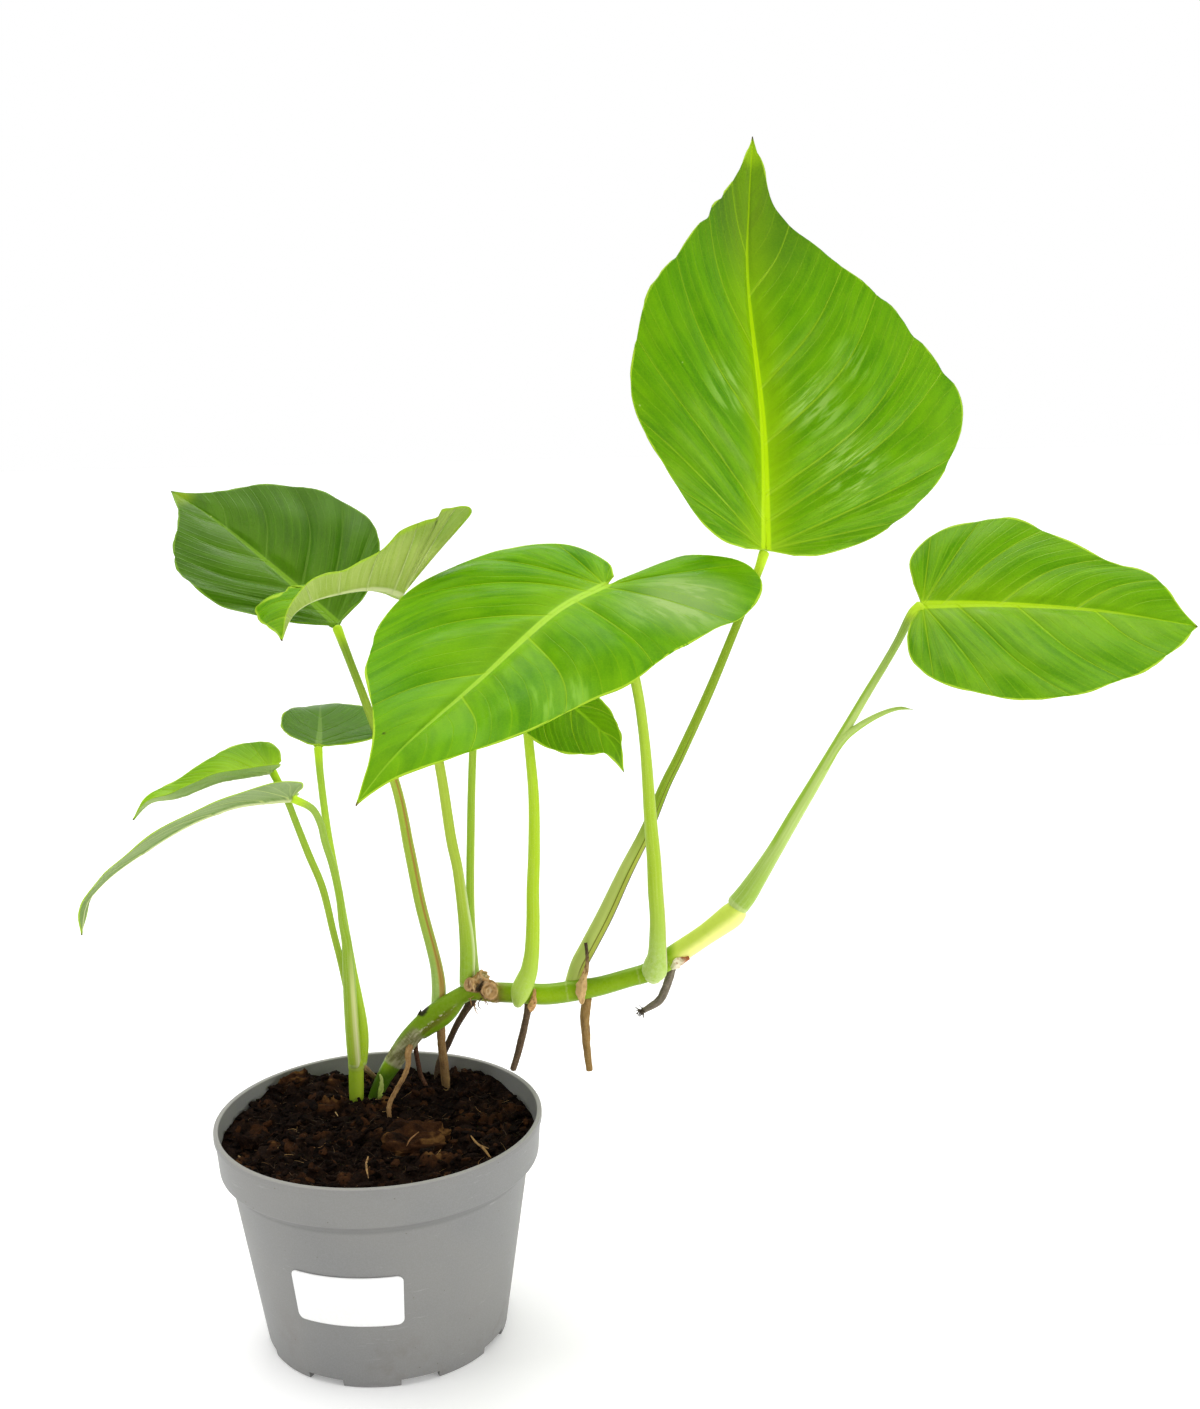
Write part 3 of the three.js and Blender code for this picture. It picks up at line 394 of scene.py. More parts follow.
MAIN_STEM = [
    [-12, 41, 84, 3], [-7.7, 41, 95, 3.3], [-3.1, 41, 105, 3.8], [2.6, 42, 114, 4.5],
    [8.4, 43, 122.6, 4.8], [13.6, 44, 128.6, 4.9], [21.4, 45.5, 136.2, 4.6], [28.5, 47, 140.9, 4.4],
    [35.4, 49, 144.4, 4.3], [41, 50, 146.6, 4.4], [47, 51, 146.1, 4.7], [54, 51, 145.5, 4.9],
    [65, 52, 144.4, 5], [75, 52, 143.6, 5.2], [82.2, 53, 143.4, 5.2], [93.5, 54, 144.6, 5.2],
    [104.4, 54.5, 146.2, 4.8], [118.2, 55, 149.8, 4.6], [129.1, 56, 152.8, 4.8],
    [142.6, 57, 161.2, 5.3], [156.9, 57.5, 170.6, 5.3], [168.8, 58, 179.2, 6.2],
    [172.2, 58, 182.4, 5.6],
]
ROOT_BULGE = [
    [17, 44.5, 127.6, 3], [25.5, 46, 133.4, 4], [30.6, 47, 137.1, 3.7], [36, 48.5, 142.5, 2.6],
]
# The knob's cut stubs: the left face, the papery block on top and the round scar in front
CUT_STUBS = [
    [[44.5, 48, 150, 3.2], [41, 44.6, 152.4, 3.4]],
    [[42.5, 48.5, 150, 3], [48.4, 46, 156.2, 3.1]],
    [[50.2, 50, 147, 4.8], [50.8, 44, 149, 4.1]],
]
TWIG_STUB = [[14.2, 44.5, 132, 1.1], [15.5, 44, 136.8, 0.8], [17, 43.8, 140.3, 0.4]]
SIDE_STEM = [
    [-16.5, 36.3, 84, 3.2], [-15.7, 36.3, 95, 3.4], [-15.3, 36.3, 104, 3.6],
    [-15, 36.3, 112.5, 3.7], [-14.8, 36.3, 115.2, 4.2], [-14.4, 36.3, 118.5, 4],
]
PETIOLES = {
    "crown": [
        [90, 58, 143, 4.1], [94, 58.2, 155.6, 4.2], [99, 58.4, 165.1, 4.2], [107.9, 58.7, 181.8, 4.1],
        [118.1, 59.1, 203.1, 3.6], [128.5, 59.5, 223.2, 3.1], [137.9, 60.5, 245.2, 2.7],
        [146.2, 62.6, 261.2, 2.5], [160.3, 68.8, 289.5, 2.3], [174, 75.9, 319.7, 2.1],
        [185, 81.6, 344.8, 2.2], [188.6, 83.6, 354.5, 2.5],
    ],
    "right": [
        [172.9, 58, 185.2, 5.6], [178.5, 58, 192.6, 5.2], [190, 58, 210.9, 3.9], [201, 58, 230, 3.5],
        [210.9, 58, 246.9, 3.1], [220.4, 58, 263.6, 2.6], [227.9, 58, 276.7, 2.3], [235.6, 58, 290, 2.1],
        [243.2, 58, 302.7, 2], [249.8, 58, 314.4, 2], [256, 58, 326.8, 2.3],
        [260.2, 58, 330.6, 2.8],
    ],
    "front": [
        [130.4, 50.4, 151.3, 4], [130.9, 49.8, 154.2, 6.1], [131.8, 49.5, 158.7, 5.8],
        [132.7, 49, 165, 4.6], [133, 47, 182.2, 3.9], [132.2, 44.5, 198.1, 3.8],
        [131.6, 41.5, 214, 3.5], [130.1, 37, 235.4, 3.1], [127.8, 28.5, 274.3, 2.5],
        [123.9, 20, 305.2, 2.4], [115.5, 13.5, 340, 2.5], [111.6, 12.4, 348.6, 2.8],
    ],
    "back": [
        [24.9, 51.5, 140.5, 3.6], [25.2, 53, 148.7, 3.5], [24.4, 54.3, 157.7, 3.1],
        [22.3, 55.2, 168.5, 2.9], [17.7, 56.5, 189.5, 2.8], [13.3, 58, 216.8, 2.7],
        [7.9, 60.5, 248.4, 2.4], [-4.9, 66, 287.1, 2.1], [-12.6, 73, 306.6, 2],
        [-19.8, 83.2, 322.6, 2.3],
    ],
    "curled": [
        [39.2, 50.5, 150.5, 3.6], [39.7, 50.5, 157, 3.8], [40.1, 50.5, 166, 3.8],
        [39.9, 50.4, 176, 3.5], [38.8, 50, 190.1, 2.9], [37, 50, 209, 2.6], [34.3, 50, 225.6, 2.6],
        [30.2, 51.5, 260.6, 2.4], [22.6, 57, 301, 2.1], [15.8, 61.6, 338.2, 2.3],
    ],
    "tucked": [
        [64, 46.3, 140.8, 2.2], [64.8, 45.4, 144.4, 4], [66, 45, 148.6, 4.9],
        [68.1, 45, 153.3, 4.8], [70, 45, 158, 4.3], [71.1, 44.6, 163.5, 3.9], [72, 44.1, 170, 3.6],
        [72.9, 43.4, 185, 3.3], [73.3, 42.8, 200, 3.1], [74.5, 42, 220, 2.9],
        [75.1, 41, 247.3, 2.6], [73.4, 40.5, 276.6, 2.3], [71.2, 40.2, 311.6, 2.3],
    ],
    "hidden": [
        [44.3, 56.4, 147, 2.3], [42.6, 57.2, 157.6, 2.3], [41.9, 58, 188.4, 2.1], [43.7, 58, 230.2, 2],
        [45.6, 59, 262.5, 1.9], [49.8, 60, 317.6, 2],
    ],
    "shoot_right": [
        [-12.4, 36.6, 116.5, 2.8], [-11.5, 36.6, 123, 3], [-11.2, 36.9, 130, 3.1],
        [-11.4, 37.3, 137, 2.9], [-12.6, 37.9, 147, 2.7], [-14.6, 38.9, 161, 2.4],
        [-16.3, 40.2, 174.8, 2.1], [-18.2, 42.2, 188.3, 2], [-20, 44.4, 201.7, 1.8],
        [-24.4, 48.5, 229.9, 1.8], [-27.3, 54, 255.8, 1.8], [-28.2, 57.5, 268.6, 2],
    ],
    "shoot_upper": [
        [-13.6, 39.6, 120.5, 1.5], [-15.2, 40, 135, 1.6], [-17.8, 39.4, 152, 1.6], [-20, 39, 167.4, 1.7],
        [-22.8, 39.2, 182, 1.7], [-26.9, 39.8, 204, 1.8], [-33, 41, 221, 1.8], [-38.3, 42.4, 236.3, 1.7],
        [-41.9, 43.3, 246.7, 1.7], [-48.2, 44.8, 260.4, 1.9],
    ],
    "shoot_lower": [
        [-15, 35, 116.5, 3.2], [-15.2, 34.2, 124, 3.5], [-15.4, 33.2, 138.4, 3.4],
        [-15.5, 32.5, 152.6, 3.2], [-15.4, 31.9, 162.2, 3], [-15.4, 31.3, 171.6, 2.7],
        [-15.5, 30.5, 181, 2.4], [-16.8, 29.6, 190.2, 1.9], [-17.2, 28.2, 202.7, 1.9],
        [-19.4, 26.9, 218.4, 1.8], [-22.2, 25, 231, 1.7], [-23.6, 23.6, 240.4, 1.7],
        [-27, 22.2, 248.2, 1.7], [-35.2, 20.2, 253.6, 1.9],
    ],
}
SHEATH_TIP = [
    [214.4, 57.4, 253, 2.2], [223.2, 56.2, 266.6, 1.8], [230.8, 56, 273.4, 1.6], [240.8, 56, 279.1, 1.2],
    [249.7, 56, 282, 0.8], [256.9, 56, 281.4, 0.45],
]
ROOTS = {
    "black": [
        [43, 51, 144, 2.1], [34, 56, 128.6, 1.7], [27.7, 60, 115, 1.6], [22.4, 64, 102.7, 1.6],
        [20.5, 65.5, 88, 1.4],
    ],
    "over_rim": [
        [69, 52, 141.5, 2], [68.1, 52.6, 133, 1.8], [63.6, 55, 114.5, 1.75],
        [60.1, 57.4, 102.5, 1.6],
    ],
    "hanging": [
        [97.9, 54, 140, 2.5], [96.6, 53, 131.3, 2.5], [96.9, 52, 119.2, 2.1], [98.2, 51, 103.8, 1.6],
    ],
    "frayed": [
        [140.3, 57, 155, 2.1], [136.9, 57, 144, 2], [133.1, 57, 136.7, 2.1], [126, 57, 132.2, 1.3],
    ],
    "prop": [
        [26, 46.2, 131.5, 2.2], [26.2, 46, 119.7, 2], [26.9, 47, 108.8, 2.1], [27.2, 49.3, 95, 2],
        [27.6, 50, 86, 1.6],
    ],
    "thin_dark": [
        [13.6, 44, 126, 1.5], [13.3, 46, 119.5, 1.2], [13.9, 48, 111.3, 1.2], [15, 49, 103.7, 1.1],
        [18.5, 49.8, 94.6, 1], [20, 50, 87, 0.9],
    ],
    "curved_tan": [
        [11.4, 39.4, 123, 1.7], [10.6, 36, 120.6, 1.6], [10.8, 33, 116.5, 1.3], [8.9, 30, 111.6, 1.25],
        [5.3, 27, 106, 1.2], [1.8, 23, 99.1, 1.15], [2.8, 21.6, 88, 1],
    ],
    "side_shoot": [
        [-11.2, 39.5, 112.5, 1.4], [-8.6, 44, 107, 1.2], [-5.6, 48.5, 101, 1.1], [-3, 52, 88, 1],
    ],
}
SCALES = {
    "scale_crown": [
        [95.5, 48.2, 139.5, 1], [95, 47.6, 147, 2.6], [96.6, 48.2, 153, 1.7], [98.5, 50, 160, 0.9],
        [97.9, 51, 170, 0.8],
    ],
    "scale_tucked": [
        [70.6, 47.2, 136.6, 0.9], [71, 46.5, 140.2, 2.2], [72, 46.6, 144.5, 1.2],
        [72.6, 47.2, 148.3, 0.5],
    ],
    "scale_front": [[139.8, 51.2, 155.5, 1.1], [142.6, 50.6, 158.5, 2.4], [148.4, 51.6, 160.8, 0.8]],
    "bud_scale": [
        [-5, 36.6, 92, 1.2], [-4.2, 36.4, 98, 1.2], [-3.2, 36.2, 103.5, 1.1],
        [-2.8, 36.4, 107.5, 0.8], [-3.6, 36.6, 110.3, 0.4],
    ],
}
LEAVES = {
    "crown": {
        "rib": [[189, 84, 356], [189, 96, 415], [184, 116, 482], [186, 130, 523], [189, 140, 554]],
        "up": [0.46, -0.85, 0.29],
        "fold": [18, 18],
        "curl": 0.004,
        "left": [
            [0, 14], [4, 30], [16, 47], [38, 64], [62, 77], [82, 78], [117, 65], [140, 43], [160, 27],
            [179, 12], [194, 5],
        ],
        "right": [
            [-3, 15], [-2, 32], [9, 62], [36, 97], [70, 116], [97, 98], [127, 72], [151, 43], [171, 16],
            [194, 6],
        ],
    },
    "right": {
        "rib": [[261, 58, 331], [297, 54, 331], [342, 48, 328], [386, 40, 321]],
        "up": [0, -0.72, 0.7],
        "fold": [10, 10],
        "curl": 0.003,
        "left": [
            [-4, 12], [-5, 25], [5, 38], [20, 45], [42, 48], [65, 38], [85, 28], [103, 24], [118, 9],
        ],
        "right": [[-6, 11], [-8, 22], [-5, 36], [10, 49], [37, 56], [69, 53], [99, 37], [115, 21]],
    },
    "front": {
        "rib": [[111, 12, 350], [88, -10, 341], [56, -45, 318], [27, -80, 298], [10, -96, 280]],
        "up": [-0.2, -0.48, 0.85],
        "fold": [8, 8],
        "curl": 0.004,
        "left": [
            [-14, 3], [-29, 6], [-44, 11], [-52, 35], [-42, 56], [-15, 68], [5, 65], [54, 63], [76, 54],
            [106, 43], [127, 30], [146, 11], [156, 4],
        ],
        "right": [
            [-9, 3], [-16, 14], [-16, 38], [-5, 55], [14, 65], [39, 77], [65, 73], [95, 54], [110, 39],
            [130, 19], [145, 9], [156, 4],
        ],
    },
    "back": {
        "rib": [[-20, 84, 324], [-46, 103, 344], [-83, 129, 370], [-111, 146, 386]],
        "up": [0.1, -0.63, 0.77],
        "fold": [10, 10],
        "curl": 0.004,
        "left": [[6, 9], [15, 19], [34, 33], [55, 39], [75, 38], [92, 29], [106, 14], [116, 6]],
        "right": [[2, 9], [4, 21], [20, 44], [41, 56], [70, 51], [94, 33], [104, 18], [116, 6]],
    },
    "curled": {
        "rib": [
            [15, 62, 341], [8, 61, 344], [-3, 59, 345], [-18, 55, 343], [-28, 52, 340], [-36, 49, 334],
            [-41, 47, 323],
        ],
        "up": [0.1, 0.5, 0.85],
        "up_at_tip": [-0.8, -0.5, 0.4],
        "fold": [38, 12],
        "curl": 0.006,
        "left": [
            [-10, 43], [-13, 57], [-12, 62], [-9, 63], [-5, 60], [0, 54], [4.5, 45], [8, 34],
            [13, 23.5], [26, 15.5], [36, 18.5], [43, 21], [51, 14], [61, 4],
        ],
        "right": [
            [-4, 5], [-4, 12], [4, 17], [16, 20], [28, 21], [39, 19], [44, 26], [47, 36], [51, 24],
            [55, 30], [60, 41], [64, 25], [65, 14], [66, 6],
        ],
    },
    "tucked": {
        "rib": [[71, 40, 313], [84, 37, 301], [96, 34, 290], [112, 29, 275], [118, 26, 261]],
        "up": [0.3, -0.7, 0.65],
        "fold": [10, 10],
        "curl": 0.004,
        "left": [[-8, 6], [-13, 14], [-6, 24], [12, 22], [27, 15], [38, 13], [48, 11], [56, 7], [63, 3]],
        "right": [[-8, 6], [-14, 16], [-8, 30], [8, 35], [26, 31], [40, 28], [53, 18], [62, 6]],
    },
    "hidden": {
        "rib": [[50, 60, 319], [61, 82, 323], [69, 103, 321], [73, 116, 315]],
        "up": [-0.1, -0.2, 1],
        "fold": [10, 10],
        "curl": 0.006,
        "left": [[-8, 5], [-12, 14], [-4, 24], [12, 25], [28, 20], [44, 12], [55, 4]],
        "right": [[-8, 5], [-12, 14], [-4, 24], [12, 25], [28, 20], [44, 12], [55, 4]],
    },
    "shoot_right": {
        "rib": [[-28, 58, 270], [-30, 77, 273], [-33, 100, 278], [-35, 116, 278]],
        "up": [0, -0.4, 0.92],
        "fold": [8, 8],
        "curl": 0.004,
        "left": [[1, 5], [8, 12], [20, 18], [34, 19], [46, 15], [54, 8]],
        "right": [[-4, 5], [-5, 14], [-4, 24], [3, 31], [17, 31], [35, 25], [46, 14], [54, 6]],
    },
    "shoot_upper": {
        "rib": [
            [-49, 45, 261], [-62, 44, 259], [-74, 43, 257], [-93, 42, 250], [-106, 41, 248],
            [-115, 40, 240],
        ],
        "up": [0, -0.11, 0.99],
        "fold": [30, 20],
        "curl": 0.001,
        "left": [[-5, 6], [-6, 13], [4, 17], [21, 19], [41, 15], [55, 9], [64, 4]],
        "right": [[-5, 6], [-4, 15], [1, 22], [8, 25], [16, 25], [29, 20], [43, 15], [55, 9], [64, 4]],
    },
    "shoot_lower": {
        "rib": [
            [-36, 20, 254], [-58, 19, 252], [-72, 18, 248], [-86, 17, 242], [-103, 16, 232],
            [-118, 15, 222], [-127, 14, 214], [-133, 14, 206], [-136, 14, 192],
        ],
        "up": [0, 0.3, 0.95],
        "up_at_tip": [0, 0.05, 1],
        "fold": [10, 10],
        "curl": 0.003,
        "left": [
            [-5, 10], [-9, 20], [-10, 34], [-2, 41], [10, 35], [24, 25], [43, 20], [60, 21], [75, 19],
            [93, 13], [106, 6], [118, 3],
        ],
        "right": [
            [-2, 10], [-1, 20], [6, 29], [24, 30], [45, 27], [66, 22], [88, 14], [106, 6], [118, 3],
        ],
    },
}


def linear(hex_colour):
    """A linear colour from the usual six digits"""
    parts = [int(hex_colour[k:k + 2], 16) / 255 for k in (0, 2, 4)]
    return tuple(c / 12.92 if c <= 0.04045 else ((c + 0.055) / 1.055) ** 2.4 for c in parts) + (1.0,)


def add_object(name, data, collection=None):
    """A new object for the data, in the scene itself or in the collection given"""
    made = bpy.data.objects.new(name, data)
    (collection or bpy.context.scene.collection).objects.link(made)
    return made


def make_camera():
    data = bpy.data.cameras.new("camera")
    data.sensor_width = SENSOR
    data.lens = FOCAL_PIXELS * SENSOR / PHOTO_LONG_SIDE
    camera = add_object("camera", data)
    camera.location = CAMERA_PLACE
    pitch = Euler((math.radians(90 - CAMERA_PITCH_DOWN), 0, 0))
    roll = Euler((0, 0, math.radians(CAMERA_ROLL)))
    camera.rotation_euler = (pitch.to_matrix() @ roll.to_matrix()).to_euler()
    bpy.context.scene.camera = camera


def make_floor():
    corners = [(x * FLOOR_HALF, y * FLOOR_HALF, 0) for x, y in ((-1, -1), (1, -1), (1, 1), (-1, 1))]
    mesh = bpy.data.meshes.new("floor")
    mesh.from_pydata(corners, [], [(0, 1, 2, 3)])
    shader = Shader("floor")
    grain = shader.noise(shader.place(), 300, 2)
    colour = shader.mix(grain, "f4f4f3", "f7f7f6")
    material = shader.finish(colour, roughness=0.85)
    surface = next(node for node in shader.nodes if node.type == "BSDF_PRINCIPLED")
    surface.inputs["Emission Color"].default_value = WHITE
    surface.inputs["Emission Strength"].default_value = FLOOR_GLOW
    mesh.materials.append(material)
    add_object("floor", mesh)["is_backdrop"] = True


def aim(lamp, way):
    lamp.rotation_euler = way.to_track_quat("-Z", "Y").to_euler()


def make_lights():
    for name, (place, target, width, height, watts) in LIGHTS.items():
        data = bpy.data.lights.new(name, "AREA")
        data.shape = "RECTANGLE"
        data.size = width
        data.size_y = height
        data.energy = watts
        lamp = add_object(name, data)
        lamp.location = place
        aim(lamp, Vector(target) - Vector(place))
    data = bpy.data.lights.new("overhead", "SUN")
    data.energy = SUN_STRENGTH
    data.angle = math.radians(SUN_SPREAD)
    aim(add_object("overhead", data), -Vector(SUN_FROM))


def make_surround():
    """A white surround, brighter behind the plant than in front of it"""
    world = bpy.data.worlds.new("surround")
    bpy.context.scene.world = world
    world.use_nodes = True
    nodes, links = world.node_tree.nodes, world.node_tree.links
    parts = nodes.new("ShaderNodeSeparateXYZ")
    strength = nodes.new("ShaderNodeMapRange")
    settings = {"From Min": BEHIND_FROM, "From Max": BEHIND_FULL, "To Min": SURROUND_DIM,
                "To Max": SURROUND_BEHIND}
    for name, value in settings.items():
        strength.inputs[name].default_value = value
    links.new(nodes.new("ShaderNodeTexCoord").outputs["Generated"], parts.inputs[0])
    links.new(parts.outputs["Y"], strength.inputs["Value"])
    nodes["Background"].inputs["Color"].default_value = WHITE
    links.new(strength.outputs[0], nodes["Background"].inputs["Strength"])
    bpy.context.scene.view_settings.view_transform = "Standard"


# Curves and noise

CURVE_STEPS = 24
# How far to each side, as a share of the length, a path looks to find its direction
AHEAD_SHARE = 0.004
NEAREST_STEPS = 500
NOISE_OCTAVES = 3
WORD = 0xFFFFFFFF
LATTICE_PRIMES = (73856093, 19349663, 83492791)


def catmull_rom(rows):
    """A smooth curve through rows of numbers, as many finer rows"""
    p = np.asarray(rows, float)
    p = np.vstack([2 * p[0] - p[1], p, 2 * p[-1] - p[-2]])
    t = np.linspace(0, 1, CURVE_STEPS, endpoint=False)[:, None]
    spans = []
    for before, start, end, after in zip(p, p[1:], p[2:], p[3:]):
        leave = (end - before) / 2
        arrive = (after - start) / 2
        spans.append(start + leave * t + (3 * (end - start) - 2 * leave - arrive) * t ** 2
                     + (2 * (start - end) + leave + arrive) * t ** 3)
    spans.append(p[-2][None])
    return np.vstack(spans)


def unit(vectors):
    return vectors / np.maximum(np.linalg.norm(vectors, axis=-1, keepdims=True), 1e-12)


class Path:
    """A smooth curve through rows, measured along its length. Columns past the third ride along."""

    def __init__(self, rows):
        self.rows = catmull_rom(rows)
        steps = np.linalg.norm(np.diff(self.rows[:, :3], axis=0), axis=1)
        self.marks = np.concatenate([[0], np.cumsum(steps)])
        self.length = self.marks[-1]

    def at(self, along):
        along = np.asarray(along, float)
        return np.stack([np.interp(along, self.marks, column) for column in self.rows.T], axis=-1)

    def ahead(self, along):
        reach = AHEAD_SHARE * self.length
        before = self.at(np.clip(along - reach, 0, self.length))[..., :3]
        after = self.at(np.clip(along + reach, 0, self.length))[..., :3]
        return unit(after - before)


def smoothstep(value, low, high):
    """Rises from 0 at low to 1 at high, where low may be the larger number"""
    share = np.clip((value - low) / (high - low), 0, 1)
    return share * share * (3 - 2 * share)


def span(value, start, full, fading, end):
    """Rises from 0 at start to 1 at full, and falls from fading to 0 at end"""
    return smoothstep(value, start, full) * (1 - smoothstep(value, fading, end))


def hump(value, middle, width):
    """1 in the middle, fading away on both sides"""
    return np.exp(-((value - middle) / width) ** 2)


def lattice_value(cells, seed):
    """A repeatable number from -1 to 1 for each whole-number cell"""
    x, y, z = (cells[..., k] * prime for k, prime in enumerate(LATTICE_PRIMES))
    mixed = (x ^ y ^ z ^ (seed * 2654435761)) & WORD
    for _ in range(2):
        mixed = ((mixed ^ (mixed >> 16)) * 73244475) & WORD
    return (mixed ^ (mixed >> 16)) / 2 ** 31 - 1


def noise_at(points, size, seed):
    """Smooth noise from -1 to 1 at rows of three numbers, with bumps about as wide as size"""
    scaled = np.asarray(points, float) / size
    cells = np.floor(scaled).astype(np.int64)
    part = scaled - cells
    part = part * part * (3 - 2 * part)
    total = np.zeros(scaled.shape[:-1])
    for corner in itertools.product((0, 1), repeat=3):
        weight = np.prod(np.where(np.array(corner) == 1, part, 1 - part), axis=-1)
        total += weight * lattice_value(cells + np.array(corner), seed)
    return total


def rough_noise(points, size, seed):
    """Noise with smaller and fainter bumps on its bumps"""
    return sum(noise_at(points, size / 2 ** k, seed + k) / 2 ** k for k in range(NOISE_OCTAVES))


def noise_along(values, shift, seed):
    """Smooth noise from -1 to 1 at single numbers, with bumps about 1 wide"""
    return noise_at(np.stack([values, 0 * values, 0 * values], -1) + shift, 1.0, seed)


# Shaders

class Shader:
    """Builds one material's nodes. Its methods take and give sockets or plain values."""

    def __init__(self, name):
        self.material = bpy.data.materials.new(name)
        self.material.use_nodes = True
        self.nodes = self.material.node_tree.nodes
        self.links = self.material.node_tree.links
        self.nodes.clear()

    def put(self, kind, inputs=(), **settings):
        node = self.nodes.new(kind)
        for key, value in settings.items():
            setattr(node, key, value)
        for key, value in dict(inputs).items():
            if isinstance(value, bpy.types.NodeSocket):
                self.links.new(value, node.inputs[key])
            else:
                node.inputs[key].default_value = value
        return node

    def math(self, operation, *values):
        return self.put("ShaderNodeMath", enumerate(values), operation=operation).outputs[0]

    def times(self, *values):
        return self.math("MULTIPLY", *values)

    def plus(self, *values):
        return self.math("ADD", *values)

    def value(self, name):
        return self.put("ShaderNodeAttribute", attribute_name=name).outputs["Fac"]

    def colour(self, name):
        return self.put("ShaderNodeAttribute", attribute_name=name).outputs["Color"]

    def place(self):
        return self.put("ShaderNodeTexCoord").outputs["Object"]

    def combine(self, x, y, z):
        return self.put("ShaderNodeCombineXYZ", enumerate((x, y, z))).outputs[0]

    def band(self, value, low, high, start=0.0, end=1.0):
        """A smooth step from start to end while value goes from low to high"""
        inputs = {"Value": value, "From Min": low, "From Max": high, "To Min": start, "To Max": end}
        node = self.put("ShaderNodeMapRange", inputs, interpolation_type="SMOOTHSTEP")
        return node.outputs[0]

    def noise(self, vector, scale, detail=2.0, roughness=0.5):
        inputs = {"Vector": vector, "Scale": scale, "Detail": detail, "Roughness": roughness}
        return self.put("ShaderNodeTexNoise", inputs).outputs[0]

    def cells(self, vector, scale, feature="F1"):
        node = self.put("ShaderNodeTexVoronoi", {"Vector": vector, "Scale": scale}, feature=feature)
        return node.outputs["Distance"]

    def mix(self, factor, a, b):
        colours = [linear(value) if isinstance(value, str) else value for value in (a, b)]
        inputs = {0: factor, 6: colours[0], 7: colours[1]}
        return self.put("ShaderNodeMix", inputs, data_type="RGBA").outputs[2]

    def layers(self, base, *coats):
        """A colour with others laid over it in turn, each as far as its own factor says"""
        for factor, tone in coats:
            base = self.mix(factor, base, tone)
        return base

    def finish(self, colour, roughness=0.5, height=None, depth=0.0005, specular=0.5, through=None,
               through_share=0.0, tint=WHITE):
        """The finished material. height is a bump, depth its size in metres, through a glow colour."""
        inputs = {"Base Color": colour, "Roughness": roughness, "Specular IOR Level": specular,
                  "Specular Tint": tint}
        if height is not None:
            bump = self.put("ShaderNodeBump", {"Height": height, "Distance": depth, "Strength": 1.0})
            inputs["Normal"] = bump.outputs[0]
        surface = self.put("ShaderNodeBsdfPrincipled", inputs).outputs[0]
        if through is not None:
            glow = self.put("ShaderNodeBsdfTranslucent", {"Color": linear(through)}).outputs[0]
            shaders = {0: through_share, 1: surface, 2: glow}
            surface = self.put("ShaderNodeMixShader", shaders).outputs[0]
        self.put("ShaderNodeOutputMaterial", {"Surface": surface})
        return self.material


# Meshes

def new_mesh(name, points, faces):
    """A mesh from points in millimetres"""
    mesh = bpy.data.meshes.new(name)
    mesh.from_pydata((np.asarray(points) * MM).tolist(), [], [tuple(face) for face in faces])
    return mesh


def make_piece(name, points, faces, materials, nodes=(), values=None, kinds=None, smooth=True):
    """One object in the row frame from points in millimetres. values holds a number for each point
    by name, and kinds a material number for each face."""
    mesh = new_mesh(name, points, faces)
    for material in materials:
        mesh.materials.append(material)
    if kinds is not None:
        mesh.polygons.foreach_set("material_index", np.asarray(kinds, np.int32))
    for key, numbers in (values or {}).items():
        numbers = np.asarray(numbers, np.float32)
        kind = "FLOAT" if numbers.ndim == 1 else "FLOAT_COLOR"
        layer = mesh.attributes.new(key, kind, "POINT")
        layer.data.foreach_set("value" if numbers.ndim == 1 else "color", numbers.ravel())
    tidy_mesh(mesh)
    mesh.polygons.foreach_set("use_smooth", np.full(len(mesh.polygons), smooth))
    piece = add_object(name, mesh)
    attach(piece, BODY)
    if nodes:
        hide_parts(*nodes)
    return piece


def tidy_mesh(mesh):
    """Joins doubled points and drops what has no area, then turns the faces outwards"""
    work = bmesh.new()
    work.from_mesh(mesh)
    bmesh.ops.remove_doubles(work, verts=work.verts, dist=MERGE_WITHIN)
    bmesh.ops.dissolve_degenerate(work, edges=work.edges, dist=NO_LENGTH)
    bmesh.ops.recalc_face_normals(work, faces=work.faces)
    work.to_mesh(mesh)
    work.free()


def grid_faces(rows, columns, first=0, flipped=False, wrap=False):
    """The squares of a grid of points numbered row by row"""
    faces = []
    for i in range(rows - 1):
        for j in range(columns if wrap else columns - 1):
            k = (j + 1) % columns
            a, b = first + i * columns + j, first + (i + 1) * columns + j
            c, d = first + (i + 1) * columns + k, first + i * columns + k
            faces.append((a, d, c, b) if flipped else (a, b, c, d))
    return faces


def shell(sheets):
    """Two sheets of points as one closed thin shell: its points and its faces"""
    count, columns = sheets[0].shape[:2]
    points = np.concatenate([sheet.reshape(-1, 3) for sheet in sheets])
    numbers = np.arange(len(points)).reshape(2, count, columns)
    faces = grid_faces(count, columns) + grid_faces(count, columns, count * columns, True)
    for rim in (numbers[:, :, 0].T, numbers[:, :, -1].T, numbers[:, 0].T, numbers[:, -1].T):
        faces += [(a[0], a[1], b[1], b[0]) for a, b in zip(rim, rim[1:])]
    return points, faces


def rings_round(profile, spokes):
    """Rings of points round Z, one for each radius and height of the profile"""
    angle = np.arange(spokes) * 2 * np.pi / spokes
    return [np.stack([r * np.cos(angle), r * np.sin(angle), np.full_like(angle, z)], -1) for r, z in profile]


